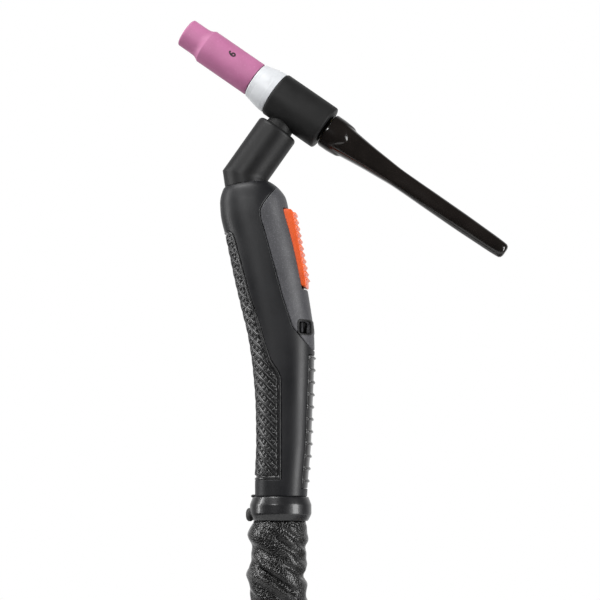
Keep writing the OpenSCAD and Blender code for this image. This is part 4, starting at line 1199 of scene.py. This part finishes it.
def make_foot():
    """The collar with its two chamfers, and the knot of the sleeve's tie at its back."""
    corners = [(13.4, 0.25), (15.3, 0.25), (16.75, -3.5), (17, -4.3), (17, -9.0), (16.75, -9.8),
               (15.0, -13.1), (13.4, -13.1)]
    profile = rounded_profile(corners, 0.7, 6)
    where = Matrix.Translation((0.4, 0, -HANDLE_DOWN - 0.3))
    turned("chamfered_collar", profile, where, COLLAR, "handle", ["rear_collar"], sharp=28)
    knot_at, knot_size = (-16.6, 0, -96.6), (2.3, 2.8, 3.7)
    tab_at, tab_size = (-14.6, 0, -86.4), (1.4, 1.8, 0.9)
    for name, at, size in (("tie_knot", knot_at, knot_size), ("collar_tab", tab_at, tab_size)):
        profile = [(max(0.02, math.sin(t) ** 0.8), math.copysign(abs(math.cos(t)) ** 0.8, -math.cos(t)))
                   for t in np.linspace(0, math.pi, 15)]
        points, faces = lathe(profile, 24)
        knot = mesh_piece(name, points * size + at, faces, SEAL_RUBBER, "handle", 60)
        face_outwards(knot)
        if name == "tie_knot":
            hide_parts("sleeve_tie")


# ---- repeated ribs, made with one node group ----
def repeat_group():
    """Copies its geometry Count times, each a step further up Z and a step further round it."""
    tree = bpy.data.node_groups.new("repeat_by_steps", "GeometryNodeTree")
    for name, kind in (("Geometry", "Geometry"), ("Count", "Int"), ("Height Step", "Float"),
                       ("Angle Step", "Float"), ("Material", "Material")):
        tree.interface.new_socket(name=name, in_out="INPUT", socket_type="NodeSocket" + kind)
    tree.interface.new_socket(name="Geometry", in_out="OUTPUT", socket_type="NodeSocketGeometry")
    new, link = tree.nodes.new, tree.links.new
    given, given_out = new("NodeGroupInput"), new("NodeGroupOutput")
    line = new("GeometryNodeMeshLine")
    offset = new("ShaderNodeCombineXYZ")
    link(given.outputs["Height Step"], offset.inputs["Z"])
    link(offset.outputs[0], line.inputs["Offset"])
    link(given.outputs["Count"], line.inputs["Count"])
    turn = new("ShaderNodeMath")
    turn.operation = "MULTIPLY"
    link(new("GeometryNodeInputIndex").outputs[0], turn.inputs[0])
    link(given.outputs["Angle Step"], turn.inputs[1])
    spin = new("ShaderNodeCombineXYZ")
    link(turn.outputs[0], spin.inputs["Z"])
    place = new("GeometryNodeInstanceOnPoints")
    link(line.outputs[0], place.inputs["Points"])
    link(given.outputs["Geometry"], place.inputs["Instance"])
    link(spin.outputs[0], place.inputs["Rotation"])
    real = new("GeometryNodeRealizeInstances")
    link(place.outputs[0], real.inputs[0])
    paint = new("GeometryNodeSetMaterial")
    link(real.outputs[0], paint.inputs["Geometry"])
    link(given.outputs["Material"], paint.inputs["Material"])
    link(paint.outputs[0], given_out.inputs[0])
    return tree


def repeated(name, group, points, faces, count, height_step, angle_step, where, finish, body, slot):
    """A piece made of count copies of a small mesh, in mm in the frame where."""
    source = new_object(name + "_source", new_mesh(name, points, faces, 40))
    steps = source.modifiers.new("repeat", "NODES")
    steps.node_group = group
    values = {"Count": count, "Height Step": height_step * MM, "Angle Step": angle_step, "Material": finish}
    for socket in group.interface.items_tree:
        if socket.in_out == "INPUT" and socket.name in values:
            steps[socket.identifier] = values[socket.name]
    bpy.context.view_layer.update()
    made = bpy.data.meshes.new_from_object(source.evaluated_get(bpy.context.evaluated_depsgraph_get()))
    made.name = name
    bpy.data.objects.remove(source)
    metres = where.copy()
    metres.translation = where.translation * MM
    made.transform(metres)
    piece = new_object(name, made)
    face_outwards(piece)
    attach(piece, body)
    return piece


def rib_bar(radius, height, low, high, width):
    """A lengthwise bar with sloped ends, standing height above radius."""
    faces = [(0, 1, 2, 3), (7, 6, 5, 4), (0, 4, 5, 1), (1, 5, 6, 2), (2, 6, 7, 3), (3, 7, 4, 0)]
    points = []
    for x, ends, half in ((radius - 0.6, 0, width / 2), (radius + height, 1.0, width / 2 * 0.6)):
        points += [(x, -half, low + ends), (x, half, low + ends)]
        points += [(x, half, high - ends), (x, -half, high - ends)]
    return points, faces


def rib_ring(radius, height, width, turns=64):
    """One rounded ring standing height above radius."""
    t = np.linspace(0, math.pi, 9)
    profile = [(radius - 0.6, width / 2)]
    profile += [(radius + height * math.sin(a), width / 2 * math.cos(a)) for a in t]
    profile += [(radius - 0.6, -width / 2)]
    return lathe(profile, turns, ring=True)


def make_ribs():
    group = repeat_group()
    plug_at, plug_to = (np.array(p) for p in over_coil([POWER_TO, POWER_TO + PLUG_WAY]))
    socket_at, socket_to = (np.array(p) for p in over_coil([CONTROL_TO, CONTROL_TO + SOCKET_WAY]))
    at_plug = along(plug_at, plug_to - plug_at)
    at_socket = along(socket_at, socket_to - socket_at)
    at_cuff = along(CUFF_AT, CUFF_WAY)
    bar = rib_bar(12.5, 0.45, 22, 45, 2.2)
    repeated("plug_grip_ribs", group, *bar, 16, 0, math.tau / 16, at_plug, HOSE_RUBBER, "handle",
             "hose_rubber")
    bar = rib_bar(9.0, 0.3, 27, 42, 0.8)
    repeated("plug_ring_knurl", group, *bar, 30, 0, math.tau / 30, at_socket, STEEL, "plug_ring", "steel")
    points, faces = rib_ring(14.75, 0.2, 1.4)
    repeated("cuff_rings", group, points + (0, 0, 1.6), faces, 3, 2.2, 0, at_cuff, HOSE_RUBBER, "handle",
             "hose_rubber")


# ---- floor and light ----
def make_floor():
    under, top, radius = FLOOR_Z - 12, FLOOR_Z - 0.6, 420
    points, faces = lathe([(0.5, under), (radius, under), (radius, top), (0.5, top)], 96)
    mesh = bpy.data.meshes.new("floor")
    mesh.from_pydata((points * MM + np.array([0.13, 0.08, 0])).tolist(), [], faces)
    f = Finish("pale_floor")
    base = f.blend(f.noise(3, 4), (0.78, 0.78, 0.78, 1), (0.84, 0.84, 0.84, 1))
    mesh.materials.append(f.close(Base_Color=base, Roughness=0.7))
    new_object("floor", mesh)


def area_light(name, where, aim, size, power):
    light = bpy.data.lights.new(name, "AREA")
    light.shape = "RECTANGLE"
    light.size, light.size_y = size
    light.energy = power
    lamp = new_object(name, light)
    lamp.location = where
    lamp.rotation_mode = "QUATERNION"
    lamp.rotation_quaternion = (Vector(where) - Vector(aim)).to_track_quat("Z", "Y")


WORLD_FRONT = 0.04
WORLD_BACK = 1.0


def make_world():
    """White surround: bright behind the object, and dim on the camera's side."""
    world = bpy.data.worlds.new("studio")
    scene.world = world
    world.use_nodes = True
    nodes, links = world.node_tree.nodes, world.node_tree.links
    nodes.clear()
    place = nodes.new("ShaderNodeTexCoord")
    parts = nodes.new("ShaderNodeSeparateXYZ")
    links.new(place.outputs["Generated"], parts.inputs[0])
    band = nodes.new("ShaderNodeMapRange")
    band.inputs["From Min"].default_value = 0.3
    band.inputs["From Max"].default_value = 0.9
    band.inputs["To Min"].default_value = WORLD_FRONT
    band.inputs["To Max"].default_value = WORLD_BACK
    links.new(parts.outputs["Y"], band.inputs["Value"])
    seen = nodes.new("ShaderNodeLightPath")
    lit = nodes.new("ShaderNodeBackground")
    links.new(band.outputs[0], lit.inputs["Strength"])
    white = nodes.new("ShaderNodeBackground")
    white.inputs["Strength"].default_value = 1.0
    for background in (lit, white):
        background.inputs["Color"].default_value = (1, 1, 1, 1)
    mix = nodes.new("ShaderNodeMixShader")
    links.new(seen.outputs["Is Camera Ray"], mix.inputs[0])
    links.new(lit.outputs[0], mix.inputs[1])
    links.new(white.outputs[0], mix.inputs[2])
    out = nodes.new("ShaderNodeOutputWorld")
    links.new(mix.outputs[0], out.inputs[0])


def make_light():
    """Soft boxes for the highlights: a large one on the right, the others smaller."""
    middle = (0.0, 0.0, 0.0)
    area_light("key_right", (0.95, -0.5, 0.0), middle, (0.42, 0.9), 13)
    area_light("fill_left", (-0.95, -0.1, 0.25), middle, (0.14, 0.9), 7)
    area_light("top", (-0.35, -0.35, 0.95), (0, 0, 0.1), (0.5, 0.4), 9)
    area_light("front", (-0.45, -1.2, 0.45), middle, (0.3, 0.3), 6)
    scene.view_settings.view_transform = "Standard"


make_nozzle()
make_numeral()
make_gasket()
make_head()
make_cap()
make_elbow()
make_trigger()
make_latches()
make_foot()
make_ribs()
make_floor()
make_world()
make_light()
